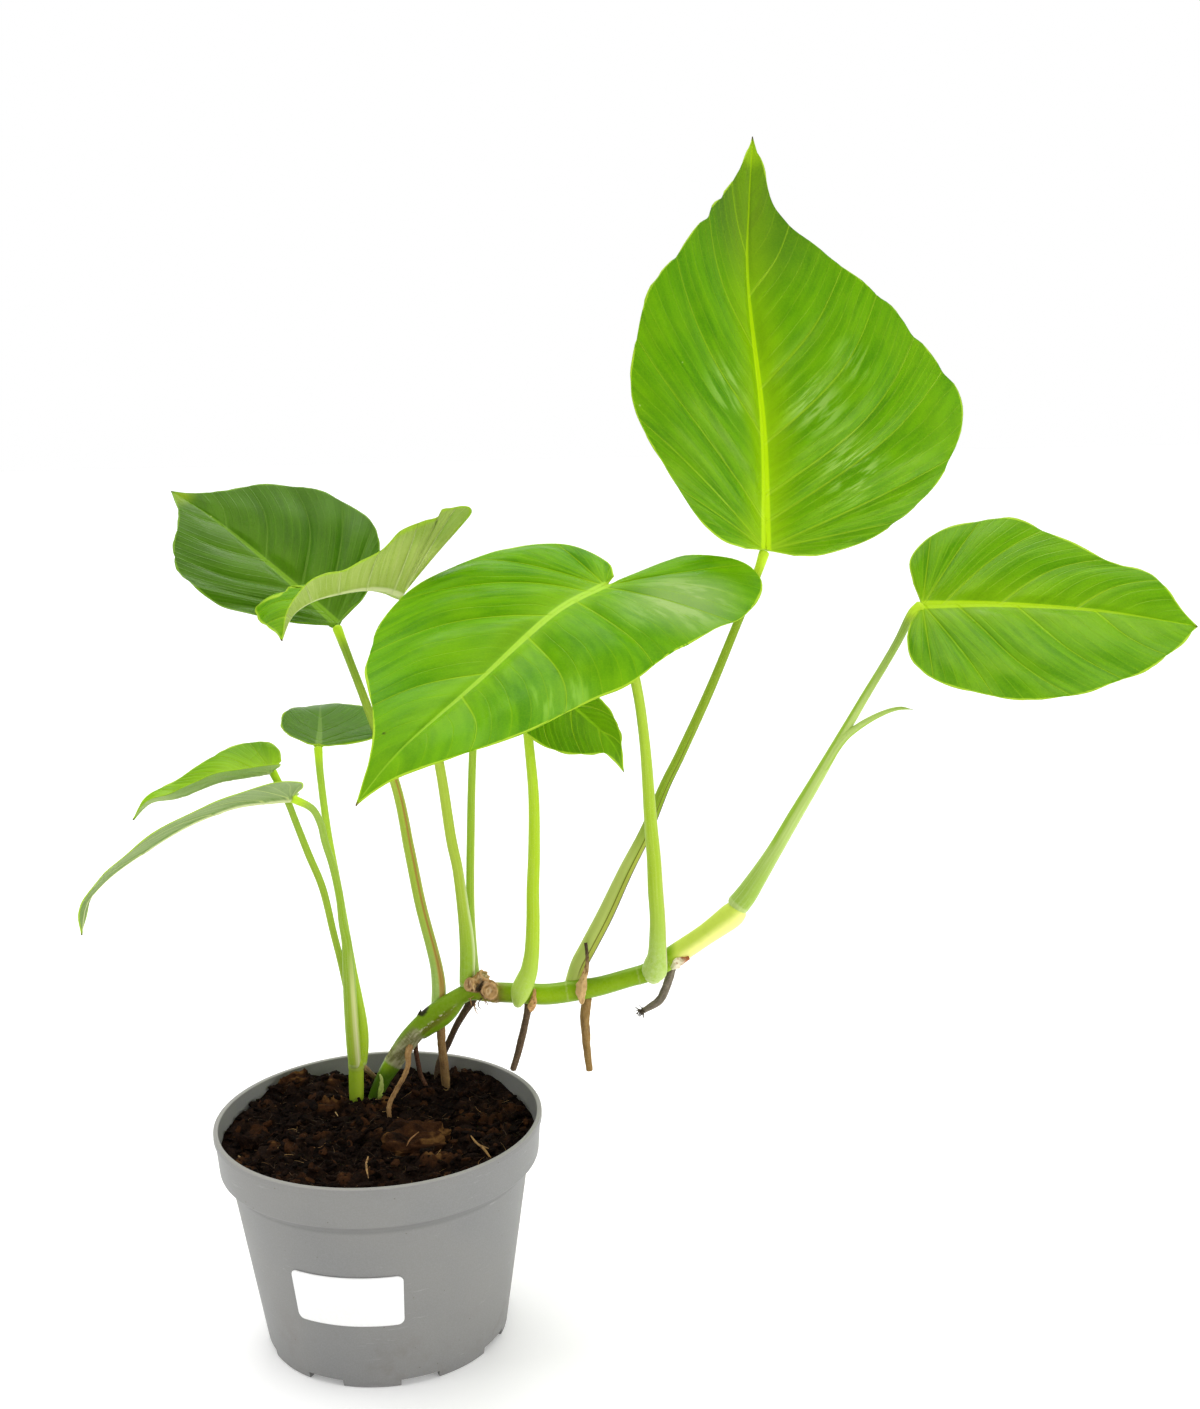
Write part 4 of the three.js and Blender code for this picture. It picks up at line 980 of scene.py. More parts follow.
class Paint:
    """The colour of each point of a mesh, laid on in coats"""

    def __init__(self, colour, points):
        self.rows = np.tile(np.array(linear(colour)), (len(points), 1))

    def coat(self, colour, amount):
        """Mixes in a colour, by an amount for each point"""
        amount = np.clip(amount, 0, 1)[:, None]
        self.rows = self.rows * (1 - amount) + np.array(linear(colour)) * amount

    def values(self, dry=1.0):
        """The point values that painted_material reads"""
        return {"paint": self.rows, "dry": dry * np.ones(len(self.rows))}


def work_object(name, points, faces, collection=None):
    """An object for modifiers to work on, from points in millimetres"""
    mesh = new_mesh(name, points, faces)
    tidy_mesh(mesh)
    return add_object(name, mesh, collection)


def worked_mesh(work):
    """What its modifiers make of a work object: points in millimetres, their normals and the faces"""
    done = bpy.data.meshes.new_from_object(work.evaluated_get(bpy.context.evaluated_depsgraph_get()))
    places, normals = np.zeros(3 * len(done.vertices)), np.zeros(3 * len(done.vertices))
    done.vertices.foreach_get("co", places)
    done.vertices.foreach_get("normal", normals)
    faces = [tuple(face.vertices) for face in done.polygons]
    bpy.data.meshes.remove(done)
    bpy.data.meshes.remove(work.data)
    return places.reshape(-1, 3) / MM, normals.reshape(-1, 3), faces


class Shape:
    """Gathers several meshes into one piece, with their point values"""

    def __init__(self):
        self.points = []
        self.faces = []
        self.values = []
        self.kinds = []
        self.count = 0

    def add(self, points, faces, kinds=None, **values):
        self.points.append(np.asarray(points, float))
        self.faces.extend(tuple(self.count + k for k in face) for face in faces)
        self.kinds.extend(kinds or [0] * len(faces))
        self.values.append(values)
        self.count += len(points)

    def finish(self, name, materials, slot, nodes=(), smooth=True):
        keys = self.values[0].keys()
        values = {key: np.concatenate([part[key] for part in self.values]) for key in keys}
        return make_piece(name, np.vstack(self.points), self.faces, materials, nodes,
                          values, self.kinds, smooth)


def square_to(ahead, towards):
    """For each direction ahead, the one at right angles to it that is closest to towards"""
    towards = np.array(towards)
    return unit(towards - ahead * (ahead @ towards)[:, None])


def tube(rows, sides, step, relief=None, ends=0.6):
    """A closed tube along rows of x, y, z and radius. relief(angle, along, length) scales the radius.
    Gives points, faces, and for each point how far along it is and the angle from the facing side."""
    path = Path(rows)
    count = max(4, round(path.length / step))
    along = np.linspace(0, path.length, count + 1)
    turns = np.linspace(0, np.pi / 2, CAP_STEPS + 1)[1:]
    radius = path.at(along)[:, 3]
    along = np.concatenate([-np.sin(turns[::-1]) * ends * radius[0], along,
                            path.length + np.sin(turns) * ends * radius[-1]])
    shrink = np.concatenate([np.cos(turns[::-1]), np.ones(count + 1), np.cos(turns)])
    inside = np.clip(along, 0, path.length)
    rows_at = path.at(inside)
    ahead = path.ahead(inside)
    centre = rows_at[:, :3] + ahead * (along - inside)[:, None]
    front = square_to(ahead, TUBE_FACING)
    side = np.cross(ahead, front)
    angle = np.arange(sides) * 2 * np.pi / sides
    radius = (rows_at[:, 3] * shrink)[:, None] * np.ones(sides)
    if relief is not None:
        radius = radius * relief(angle[None, :], inside[:, None], path.length)
    points = (centre[:, None] + front[:, None] * (np.cos(angle) * radius)[..., None]
              + side[:, None] * (np.sin(angle) * radius)[..., None])
    count = len(along)
    return (points.reshape(-1, 3), grid_faces(count, sides, wrap=True),
            np.repeat(inside, sides), np.tile(angle, count))


# Leaves

def leaf_samples(leaf):
    """Where the lines of a blade's half run, as shares of its margin, closer beside the main veins"""
    veins = np.concatenate(leaf["veins"])
    even = np.linspace(0, 1, BLADE_LINES)
    beside = [vein + offset for vein in veins for offset in VEIN_SIDE_LINES]
    kept = [share for share in even if min(abs(share - vein) for vein in veins) > VEIN_CLEAR]
    return np.unique(np.concatenate([kept, beside]))


class Half:
    """One half of a blade: where its middle sheet lies and what its shader needs to know there"""

    def __init__(self, leaf, side, samples, seed):
        self.leaf = leaf
        self.side = side
        self.path = Path(leaf["rib"])
        length = self.path.length
        outline = leaf["left"] if side > 0 else leaf["right"]
        margin = Path(list(outline) + [[length, 0]])
        edge = margin.at(samples * margin.length)
        veins = leaf["veins"][0 if side > 0 else 1]
        vein_number = np.interp(samples, [0, *veins, 1], range(len(veins) + 2))
        past = np.maximum(0, samples - FAN_SHARE) / (1 - FAN_SHARE)
        start = length * past ** leaf["spread"]
        bend = leaf["bend"] * np.minimum(1, VEIN_BEND_GAIN * start / length)[:, None]
        share = BLADE_SHARES[None, :]
        reach = edge - np.stack([start, np.zeros_like(start)], -1)
        room = np.maximum(np.linalg.norm(reach, axis=-1), SHORTEST_REACH)
        growth = self.scallop(samples, vein_number) + self.nicks(samples, seed)
        reach = reach * (1 + growth / room)[:, None]
        along = start[:, None] + reach[:, :1] * ((1 - bend) * share + bend * share ** VEIN_CURVE)
        out = reach[:, 1:] * share
        self.reach = reach[:, 1:]
        self.size = np.hypot(*edge.T).max()
        self.middle, self.normal = self.place(along, out)
        self.veins_at = vein_number[:, None] * np.ones_like(out)
        self.spacing = self.vein_spacing()
        self.rib_gap = np.where(along > 0, out, np.hypot(along, out))
        self.tip = np.clip(along / length, 0, 1)
        self.edge_gap = self.gap_to(margin, along, out)
        self.share = share * np.ones_like(out)
        self.wave(samples, seed)

    def scallop(self, samples, vein_number):
        """How far past its outline the margin swells between the ends of the main veins"""
        swell = 1 - np.abs(2 * (vein_number % 1) - 1) ** 1.5 - 0.4
        return self.leaf["scallop"] * swell * span(samples, 0.12, 0.25, 0.9, 1.0)

    def nicks(self, samples, seed):
        """Small dips of the margin"""
        dips = np.maximum(0, noise_along(samples * NICK_COUNT, self.side * 11.3, seed + 3))
        return -self.leaf["ragged"] * dips * smoothstep(samples, *NICK_FOOT)

    def place(self, along, out):
        """The blade's middle out from the rib, by an arc that starts at the fold and droops"""
        leaf, path = self.leaf, self.path
        share = np.clip(along / path.length, 0, 1)
        on_rib = share * path.length
        ahead = path.ahead(on_rib)
        foot = path.at(on_rib) + ahead * (along - on_rib)[..., None]
        up = np.array(leaf["up"]) * (1 - share[..., None])
        up = up + np.array(leaf.get("up_at_tip", leaf["up"])) * share[..., None]
        up = unit(up - ahead * np.sum(up * ahead, axis=-1, keepdims=True))
        left = np.cross(up, ahead)
        fold = math.radians(leaf["fold"][0 if self.side > 0 else 1])
        end = fold - leaf["curl"] * out
        across = (math.sin(fold) - np.sin(end)) / leaf["curl"]
        rise = (np.cos(end) - math.cos(fold)) / leaf["curl"]
        middle = foot + left * (self.side * across)[..., None] + up * rise[..., None]
        end = end * smoothstep(out, 0.0, RIB_BLEND)
        normal = up * np.cos(end)[..., None] - left * (self.side * np.sin(end))[..., None]
        return middle, unit(normal)

    def vein_spacing(self):
        """Millimetres from one main vein to the next, measured across them"""
        over = np.gradient(self.middle, axis=0)
        along = np.gradient(self.middle, axis=1)
        area = np.linalg.norm(np.cross(over, along), axis=-1)
        steps = np.gradient(self.veins_at, axis=0)
        return area / np.maximum(np.linalg.norm(along, axis=-1), 1e-6) / np.maximum(steps, 1e-6)

    def gap_to(self, margin, along, out):
        """Millimetres from each point to the margin, or to the edge between the stalk and the margin"""
        sinus = np.linspace([0, 0], margin.rows[0], SINUS_STEPS)
        edge = np.vstack([sinus, margin.rows])
        points = np.stack([along, out], axis=-1)
        return np.min(np.linalg.norm(points[..., None, :] - edge, axis=-1), axis=-1)

    def wave(self, samples, seed):
        """Soft bulges between the main veins and a slow wave of the margin"""
        part = self.veins_at % 1
        bulge = 1 - np.abs(2 * part - 1) ** 2
        fade = span(self.share, 0.02, 0.2, 0.7, 1.0)
        room = np.minimum(np.minimum(self.spacing, QUILT_WIDE), 0.45 * self.reach)
        height = self.leaf["quilt"] * room / QUILT_WIDE * bulge * fade
        slow = noise_along(samples * self.leaf["waves"], seed * 7.3 + 3 * self.side, seed)
        ends = span(samples, 0.0, 0.1, 0.9, 1.0)
        height = height + self.leaf["ripple"] * (slow * ends)[:, None] * self.share ** 3
        self.middle = self.middle + self.normal * height[..., None]

    def faces_at(self):
        """The upper and lower face, with the midrib standing out below and lying in a groove above"""
        at_rib = 1 - smoothstep(self.share, 0.0, 0.05)
        thick = BLADE_THICK * (0.5 + 0.5 * np.maximum(at_rib, smoothstep(self.edge_gap, 0.0, 1.5)))
        small = self.size / BIG_BLADE
        taper = (1 - self.tip) ** 1.5 * small ** 0.5
        width = RIB_HALF_AT_TIP + (RIB_HALF_AT_BASE - RIB_HALF_AT_TIP) * taper
        keel = RIB_DEEP_AT_TIP + (RIB_DEEP_AT_BASE - RIB_DEEP_AT_TIP) * taper
        round_share = np.sqrt(np.maximum(0, 1 - (self.rib_gap / (1.25 * width)) ** 2))
        near_vein = np.abs((self.veins_at + 0.5) % 1 - 0.5) * self.spacing
        vein = VEIN_RIDGE * hump(near_vein, 0, VEIN_RIDGE_WIDE) * (1 - smoothstep(self.share, 0.3, 1))
        inner = smoothstep(self.share, 0.0, 0.04)
        lift = 0.3 * keel * hump(self.rib_gap, 0, width) - 0.5 * vein * inner
        top = self.middle + self.normal * (thick / 2 + lift)[..., None]
        below = self.middle - self.normal * (thick / 2 + keel * round_share + vein * inner)[..., None]
        return top, below, width


def build_leaf(name, leaf, seed):
    """A blade as one closed shell of two faces, each in its own material"""
    samples = leaf_samples(leaf)
    rows, columns = len(samples), len(BLADE_SHARES)
    shape = Shape()
    for number, side in enumerate((1, -1)):
        half = Half(leaf, side, samples, seed)
        top, below, width = half.faces_at()
        values = {
            "vein": half.veins_at + HALF_VEINS * number, "spacing": half.spacing, "rib": half.rib_gap,
            "rib_half": width, "edge": half.edge_gap, "tip": half.tip, "out": half.share,
        }
        on_both_faces = {key: np.tile(value.ravel(), 2) for key, value in values.items()}
        points = np.concatenate([top.reshape(-1, 3), below.reshape(-1, 3)])
        upper = grid_faces(rows, columns, flipped=side > 0)
        lower = grid_faces(rows, columns, first=rows * columns, flipped=side < 0)
        numbers = np.arange(2 * rows * columns).reshape(2, rows, columns)
        rim = list(numbers[:, 0, :].T) + list(numbers[:, 1:, -1].T)
        walls = [(a[0], a[1], b[1], b[0]) for a, b in zip(rim, rim[1:])]
        kinds = [0] * len(upper + walls) + [1] * len(lower)
        shape.add(points, upper + walls + lower, kinds, **on_both_faces)
    materials = [leaf_upper(name, leaf, seed), leaf_under(name, leaf, seed)]
    shape.finish(f"blade_{name}", materials, "leaf", [f"leaf_{name}"])


def off_middle(shader, value):
    """How far a value is from the middle between two whole numbers"""
    return shader.math("ABSOLUTE", shader.math("SUBTRACT", shader.math("FRACT", value), 0.5))


def leaf_lines(shader, look):
    """Masks that both faces share: midrib, main veins, fine veins, margin and tip"""
    vein, spacing = shader.value("vein"), shader.value("spacing")
    rib, rib_half = shader.value("rib"), shader.value("rib_half")
    near = shader.times(off_middle(shader, shader.plus(vein, 0.5)), spacing)
    main_wide = shader.band(shader.value("out"), 0.0, 1.0, look["vein_mm"], 0.4 * look["vein_mm"])
    main = shader.band(shader.math("DIVIDE", near, main_wide), 0.35, 1.0, 1.0, 0.0)
    wobble = shader.noise(shader.combine(vein, shader.times(rib, 0.02), 0.0), 1.6, 1)
    fine_row = shader.times(shader.plus(vein, shader.times(wobble, 0.16)), FINE_VEINS)
    fine_near = shader.times(shader.times(off_middle(shader, fine_row), spacing), 1 / FINE_VEINS)
    fine = shader.times(shader.band(fine_near, 0.08, 0.38, 1.0, 0.0), shader.band(rib, 2.0, 8.0))
    return {
        "main": main, "fine": fine, "rib": rib, "vein": vein, "tip": shader.value("tip"),
        "midrib": shader.band(shader.math("DIVIDE", rib, rib_half), 0.75, 1.15, 1.0, 0.0),
        "margin": shader.band(shader.value("edge"), 0.45, look["margin_mm"], 1.0, 0.0),
        "net": shader.cells(shader.place(), LEAF_NET_SCALE, "DISTANCE_TO_EDGE"),
    }


def leaf_shader(face, name, leaf, seed):
    """What both faces of a blade start from: its shader, its look, its lines and where its streaks run"""
    shader = Shader(f"leaf_{face}_{name}")
    lines = leaf_lines(shader, leaf["look"])
    across, out = shader.times(lines["vein"], 5.0), shader.times(lines["rib"], 0.03)
    return shader, leaf["look"], lines, shader.combine(across, out, float(seed))


def add_patches(shader, colour, patches, streak):
    """Lays the look's soft round patches over a blade's colour, painted highlights among them"""
    for middle, reach, tone, share, between in patches:
        at = shader.combine(*(float(value) * MM for value in middle))
        away = shader.put("ShaderNodeVectorMath", {0: shader.place(), 1: at}, operation="DISTANCE")
        near = shader.band(away.outputs["Value"], 0.2 * reach * MM, reach * MM, share, 0.0)
        near = shader.times(near, shader.band(streak, 0.48, 0.6, between, 1.0))
        colour = shader.mix(near, colour, tone)
    return colour


def leaf_upper(name, leaf, seed):
    shader, look, lines, streak_place = leaf_shader("upper", name, leaf, seed)
    streak = shader.noise(streak_place, 1.3, 3, 0.6)
    patch = shader.noise(shader.place(), 34, 3, 0.55)
    colour = shader.layers(
        look["deep"],
        (shader.band(streak, 0.3, 0.7), look["fresh"]),
        (shader.band(patch, 0.35, 0.75, 0.0, 0.45), look["pale"]),
    )
    colour = add_patches(shader, colour, look["patches"], streak)
    towards_tip = shader.band(lines["tip"], 0.25, 0.9, 1.0, 0.4)
    glow = shader.band(lines["rib"], 0.0, look["glow_mm"], look["glow"], 0.0)
    colour = shader.layers(
        colour,
        (shader.times(glow, towards_tip), look["rib"]),
        (shader.band(lines["net"], 0.0, 0.12, 0.12, 0.0), look["vein"]),
        (shader.times(lines["fine"], look["fine"]), look["vein"]),
        (shader.times(lines["main"], look["main"]), look["vein"]),
        (shader.times(lines["midrib"], towards_tip), look["rib"]),
        (shader.times(lines["margin"], 0.9), look["margin"]),
        (shader.band(shader.cells(shader.place(), 55), 0.018, 0.03, 0.5, 0.0), LEAF_SPECK),
        (shader.band(lines["tip"], *TIP_SPOT), look["point"]),
    )
    height = shader.plus(shader.times(lines["fine"], -0.35), shader.times(lines["main"], -0.8))
    height = shader.plus(height, shader.times(shader.noise(streak_place, 4.0, 2), 0.5))
    height = shader.plus(height, shader.band(lines["net"], 0.0, 0.2, -0.05, 0.0))
    rough = shader.band(shader.noise(shader.place(), 60, 3), 0.3, 0.8, look["rough"], look["rough"] + 0.12)
    return shader.finish(colour, rough, height, depth=0.00022, specular=look["shine"],
                         through=look["through"], through_share=THROUGH_SHARE, tint=LEAF_SHEEN)


def leaf_under(name, leaf, seed):
    shader, look, lines, streak_place = leaf_shader("under", name, leaf, seed + 9)
    streak = shader.noise(streak_place, 1.5, 3, 0.6)
    colour = shader.layers(
        look["under"],
        (shader.band(streak, 0.3, 0.7), look["under_pale"]),
        (shader.band(lines["net"], 0.0, 0.12, 0.25, 0.0), look["under_pale"]),
        (shader.times(lines["fine"], 0.35), look["under_vein"]),
        (shader.times(lines["main"], 0.75), look["under_vein"]),
        (lines["midrib"], look["under_rib"]),
        (shader.times(lines["margin"], 0.8), look["margin"]),
        (shader.band(lines["tip"], *TIP_SPOT), look["point"]),
    )
    height = shader.plus(shader.times(lines["fine"], 0.5), lines["main"])
    height = shader.plus(height, shader.band(lines["net"], 0.0, 0.2, 0.3, 0.0))
    return shader.finish(colour, 0.62, height, depth=0.0003, specular=0.25,
                         through=look["through"], through_share=THROUGH_SHARE, tint=LEAF_SHEEN)


# Stalks, stems and roots

def stripe_coats(shader, stripes):
    """A mask and a colour for each stripe that runs along a stalk"""
    turn_x, turn_y, along = (shader.value(key) for key in ("turn_x", "turn_y", "along"))
    for degrees, half_wide, start, end, colour in stripes:
        angle = math.radians(degrees)
        across = shader.plus(shader.times(turn_x, math.cos(angle)), shader.times(turn_y, math.sin(angle)))
        widest, narrowest = math.radians(1.3 * half_wide), math.radians(0.6 * half_wide)
        mask = shader.band(across, math.cos(widest), math.cos(narrowest))
        length = shader.times(shader.band(along, start, start + STRIPE_START),
                              shader.band(along, end - STRIPE_END, end, 1.0, 0.0))
        yield shader.times(mask, length), colour


def stalk_material(name, look):
    """Green tissue with fine lines along it, tiny pale dots and, on some stalks, brown or pale stripes, with
    a painted highlight as the curled stalk's stripe
    """
    shader = Shader(f"stalk_{name}")
    share, along = shader.value("share"), shader.value("along")
    line_place = shader.combine(shader.value("turn_x"), shader.value("turn_y"), shader.times(along, 0.006))
    fibres = shader.noise(line_place, 5.0, 3, 0.6)
    dots = shader.cells(shader.place(), 1100)
    bloom = shader.band(shader.noise(shader.place(), 500, 3, 0.7), 0.3, 0.7)
    colour = shader.layers(
        look["foot"],
        (shader.band(share, 0.0, 0.3), look["middle"]),
        (shader.band(share, 0.6, 1.0), look["top"]),
        (shader.band(fibres, 0.4, 0.75, 0.0, 0.35), look["line"]),
        (shader.band(dots, 0.1, 0.35, 0.14, 0.0), "dfe9a8"),
        (shader.times(bloom, shader.band(along, 0.0, BLOOM_REACH, look["bloom"], 0.0)), "d9e8ae"),
        *stripe_coats(shader, look["stripes"]),
        (shader.band(along, 0.5, 1.6, look["collar"], 0.0), "e6efb4"),
        (shader.band(share, 0.93, 0.985, 0.0, 0.9), look["joint"]),
    )
    height = shader.plus(shader.times(fibres, 0.7), shader.times(dots, 0.2))
    return shader.finish(colour, 0.42, height, depth=0.0002, specular=0.25,
                         through=look["middle"], through_share=STALK_THROUGH, tint=LEAF_SHEEN)


def stalk_relief(grooves):
    """Shallow grooves along a stalk, each at an angle, with its depth and half width in degrees"""
    def relief(angle, along, length):
        depth = np.zeros(np.broadcast(angle, along).shape)
        for degrees, deep, half_wide in grooves:
            off = np.degrees(np.angle(np.exp(1j * (angle - math.radians(degrees)))))
            depth = depth + deep * hump(off, 0, half_wide)
        swell = STALK_SWELL * hump(along, length, STALK_SWELL_REACH)
        return 1 - depth * span(along, 4, 20, length - 12, length - 2) + swell
    return relief


def build_stalk(name, rows, look):
    shape = Shape()
    points, faces, along, angle = tube(rows, sides=40, step=1.6, relief=stalk_relief(look["grooves"]))
    length = along.max()
    shape.add(points, faces, along=along, share=along / length, turn_x=np.cos(angle), turn_y=np.sin(angle))
    if name == SHEATHED_STALK:
        add_sheath_tip(shape, length)
    shape.finish(f"stalk_{name}", [stalk_material(name, look)], "petiole", [f"petiole_{name}"])


def add_sheath_tip(shape, length):
    """The free end of the sheath: a folded blade that leaves the stalk and curls to a point"""
    path = Path(SHEATH_TIP)
    along = np.linspace(0, path.length, SHEATH_ROWS)
    ahead = path.ahead(along)
    back = square_to(ahead, SHEATH_OUTWARDS)
    side = np.cross(ahead, back)
    rows = path.at(along)
    bend = np.linspace(-1, 1, SHEATH_COLUMNS)
    turn = bend * SHEATH_OPENED
    radius = rows[:, 3:4] * (1 - 0.92 * smoothstep(along, 0.9 * path.length, path.length))[:, None]
    sheets = []
    for thick in (0.0, SHEATH_THICK):
        reach = (radius + 0.15 - thick * (1 - 0.6 * np.abs(bend)))[..., None]
        curve = side[:, None] * np.sin(turn)[:, None] - back[:, None] * np.cos(turn)[:, None]
        sheets.append(rows[:, None, :3] + curve * reach)
    points, faces = shell(sheets)
    on_stalk = {"along": along + SHEATH_TIP_FROM * length,
                "share": SHEATH_TIP_FROM + 0.3 * along / path.length}
    round_it = {"turn_x": np.cos(bend), "turn_y": np.sin(bend)}
    values = {key: np.tile(np.repeat(value, len(bend)), 2) for key, value in on_stalk.items()}
    values.update({key: np.tile(value, 2 * len(along)) for key, value in round_it.items()})
    shape.add(points, faces, **values)


def fused(parts):
    """Overlapping closed tubes joined into one even skin: its points, normals and faces"""
    shape = Shape()
    for points, faces, *_ in parts:
        shape.add(points, faces)
    work = work_object("fusing", np.vstack(shape.points), shape.faces)
    remesh = work.modifiers.new("skin", "REMESH")
    remesh.mode = "VOXEL"
    remesh.voxel_size = STEM_VOXEL * MM
    soften = work.modifiers.new("soften", "SMOOTH")
    soften.iterations = STEM_SMOOTH_ROUNDS
    return worked_mesh(work)


def painted_material(name, rough, depth, shine, grain=260.0, tint=WHITE):
    """Takes its colour from the mesh's paint and adds fine grain, with dull dry parts where dry is 1"""
    shader = Shader(name)
    paint, dry = shader.colour("paint"), shader.value("dry")
    fine = shader.noise(shader.place(), grain * 3, 3, 0.6)
    broad = shader.noise(shader.place(), grain, 3, 0.6)
    amount = shader.band(dry, 0.0, 1.0, 0.3, 0.8)
    light = shader.times(shader.band(fine, 0.3, 0.75, 0.0, 0.35), amount)
    dark = shader.times(shader.band(broad, 0.45, 0.8, 0.0, 0.4), amount)
    colour = shader.layers(paint, (light, shader.mix(0.28, paint, "fbe8c0")),
                           (dark, shader.mix(0.6, paint, "20260a")))
    height = shader.plus(shader.times(fine, shader.band(dry, 0.0, 1.0, 0.25, 1.0)), broad)
    rough_at = shader.band(dry, 0.0, 1.0, rough, 0.9)
    return shader.finish(colour, rough_at, height, depth=depth, specular=shine, tint=tint)


def along_path(path, points):
    """How far along the path the nearest place to each point is"""
    marks = np.linspace(0, path.length, NEAREST_STEPS)
    line = path.at(marks)[:, :3]
    nearest = [np.argmin(np.sum((line - point) ** 2, axis=1)) for point in points]
    return marks[nearest]


class StemSkin:
    """The main stem's colours, its relief and its dry parts, one feature at a time. A span's numbers are
    millimetres along X, Z or the stem itself."""

    def __init__(self, points, normals):
        self.points, self.normals = points, normals
        self.stem = Path(MAIN_STEM)
        self.at = along_path(self.stem, points)
        self.paint = Paint(STEM_GREEN, points)
        self.rise = np.zeros(len(points))
        self.dry = np.zeros(len(points))
        self.blotch = rough_noise(points, 9, 3)
        self.fine = rough_noise(points, 1.6, 11)

    def add_greens(self):
        """Dark by the foot, with painted shade on the underside and the top, yellow at the young end with
        painted light on its lower side, darker low down, pale where the soil covers it
        """
        x_at, z_at = self.points[:, 0], self.points[:, 2]
        upwards = self.normals[:, 2]
        coat = self.paint.coat
        coat(STEM_DARK_GREEN, 0.75 * span(x_at, -4, 6, 40, 52))
        # Painted shade on the underside
        coat(STEM_DARK_GREEN, 0.5 * smoothstep(upwards, 0.2, -0.9) * span(x_at, 48, 60, 132, 140))
        coat(STEM_OLD_GREEN, 0.6 * span(x_at, 70, 100, 136, 142))
        # Painted shade on the top side
        coat(STEM_SHADED_TOP_GREEN, 0.5 * smoothstep(upwards, 0.3, 0.9) * smoothstep(x_at, 50, 60))
        coat(STEM_YOUNG, smoothstep(x_at, 138, 143))
        # Painted light from below on the young end's lower side
        lit_low_side = smoothstep(0.5 * self.normals[:, 0] - upwards, -0.55, 0.3)
        coat(STEM_YOUNG_LIT_FROM_BELOW, smoothstep(x_at, 140, 146) * lit_low_side)
        coat("4a7010", smoothstep(z_at, 116, 108))
        coat("d8e0a4", smoothstep(z_at, 97.5, 95) * smoothstep(x_at, -6.5, -9.0))

    def add_woody_patch(self):
        """The grey woody patch with its wrinkles and pale rim, then the row of pale flecks beyond it"""
        at, blotch, fine = self.at, self.blotch, self.fine
        frontwards, upwards = -self.normals[:, 1], self.normals[:, 2]
        coat = self.paint.coat
        wrinkle = np.sin(at * 4.2 + 1.6 * blotch)
        patch = smoothstep(at + 0.8 * blotch, CORK_FROM, CORK_FROM + 0.8)
        patch *= smoothstep(at + 3 * blotch, CORK_TO + 2, CORK_TO - 2)
        patch *= smoothstep(0.4 - upwards + 0.5 * (at < CORK_FROM + 6), -0.3, 0.1)
        beyond = span(at, CORK_TO - 4, CORK_TO + 3, KNOB_AT - 12, KNOB_AT - 3)
        start, end = np.array(STREAK)
        across = self.points[:, [0, 2]] - start
        lead = unit(end - start)
        off_streak = across[:, 1] * lead[0] - across[:, 0] * lead[1] + 0.5 * blotch
        beside = smoothstep(np.abs(off_streak + 1.2), 2.4, 0.6)
        coat("66681a", 0.85 * beyond * smoothstep(frontwards, -0.1, 0.3) * beside)
        coat(CORK_GREY, 0.93 * patch)
        lengthwise = np.stack([at * 0.3, self.points[:, 1], self.points[:, 2] - self.points[:, 0]], axis=-1)
        streaks = rough_noise(lengthwise, 1.3, 23)
        coat(CORK_PALE, 0.55 * patch * smoothstep(streaks, 0.05, 0.4))
        coat("5f5a30", 0.5 * patch * smoothstep(-streaks, 0.1, 0.5))
        coat("c9c5a8", 0.35 * patch * smoothstep(wrinkle + 0.4 * fine, 0.7, 1.1))
        rim = hump(at + 0.8 * blotch, CORK_FROM, 0.7)
        coat(CORK_PALE, 0.75 * rim)
        flecks = smoothstep(rough_noise(self.points * np.array([0.7, 0.5, 1.0]), 0.9, 21), 0.14, 0.34)
        flecks *= beyond * smoothstep(frontwards, 0.0, 0.3) * hump(off_streak, 0, 0.75)
        coat("e2dcb8", 0.9 * flecks)
        self.rise += patch * (0.07 * wrinkle + 0.14 * streaks - 0.25 * smoothstep(fine, 0.35, 0.7))
        self.rise += 0.2 * rim + 0.2 * flecks
        self.dry = np.maximum.reduce([self.dry, patch, flecks])

    def add_knob(self):
        """The knob of cut stubs: papery tan, with painted shadow in its cleft, old cuts and a green stained
        foot
        """
        points, fine = self.points, self.fine
        x_at = points[:, 0]
        coat = self.paint.coat
        gap = np.linalg.norm(points - self.stem.at(self.at)[:, :3], axis=1)
        knob = span(x_at, 37.5, 39.5, 53.5, 56) * smoothstep(gap, 4.4, 5.2)
        frontwards = smoothstep(0.3 * self.blotch - self.normals[:, 1], -0.2, 0.5)
        coat("6b5a26", 0.8 * hump(x_at, 54, 4.5) * frontwards)
        paper = noise_at(points * np.array([1.2, 1.2, 0.35]), 1.3, 31)
        coat(CORK_TAN, knob)
        coat("d8b98a", knob * smoothstep(paper, 0.15, 0.6))
        coat("4a2f1a", knob * smoothstep(0.5 * fine - paper, 0.3, 0.7))
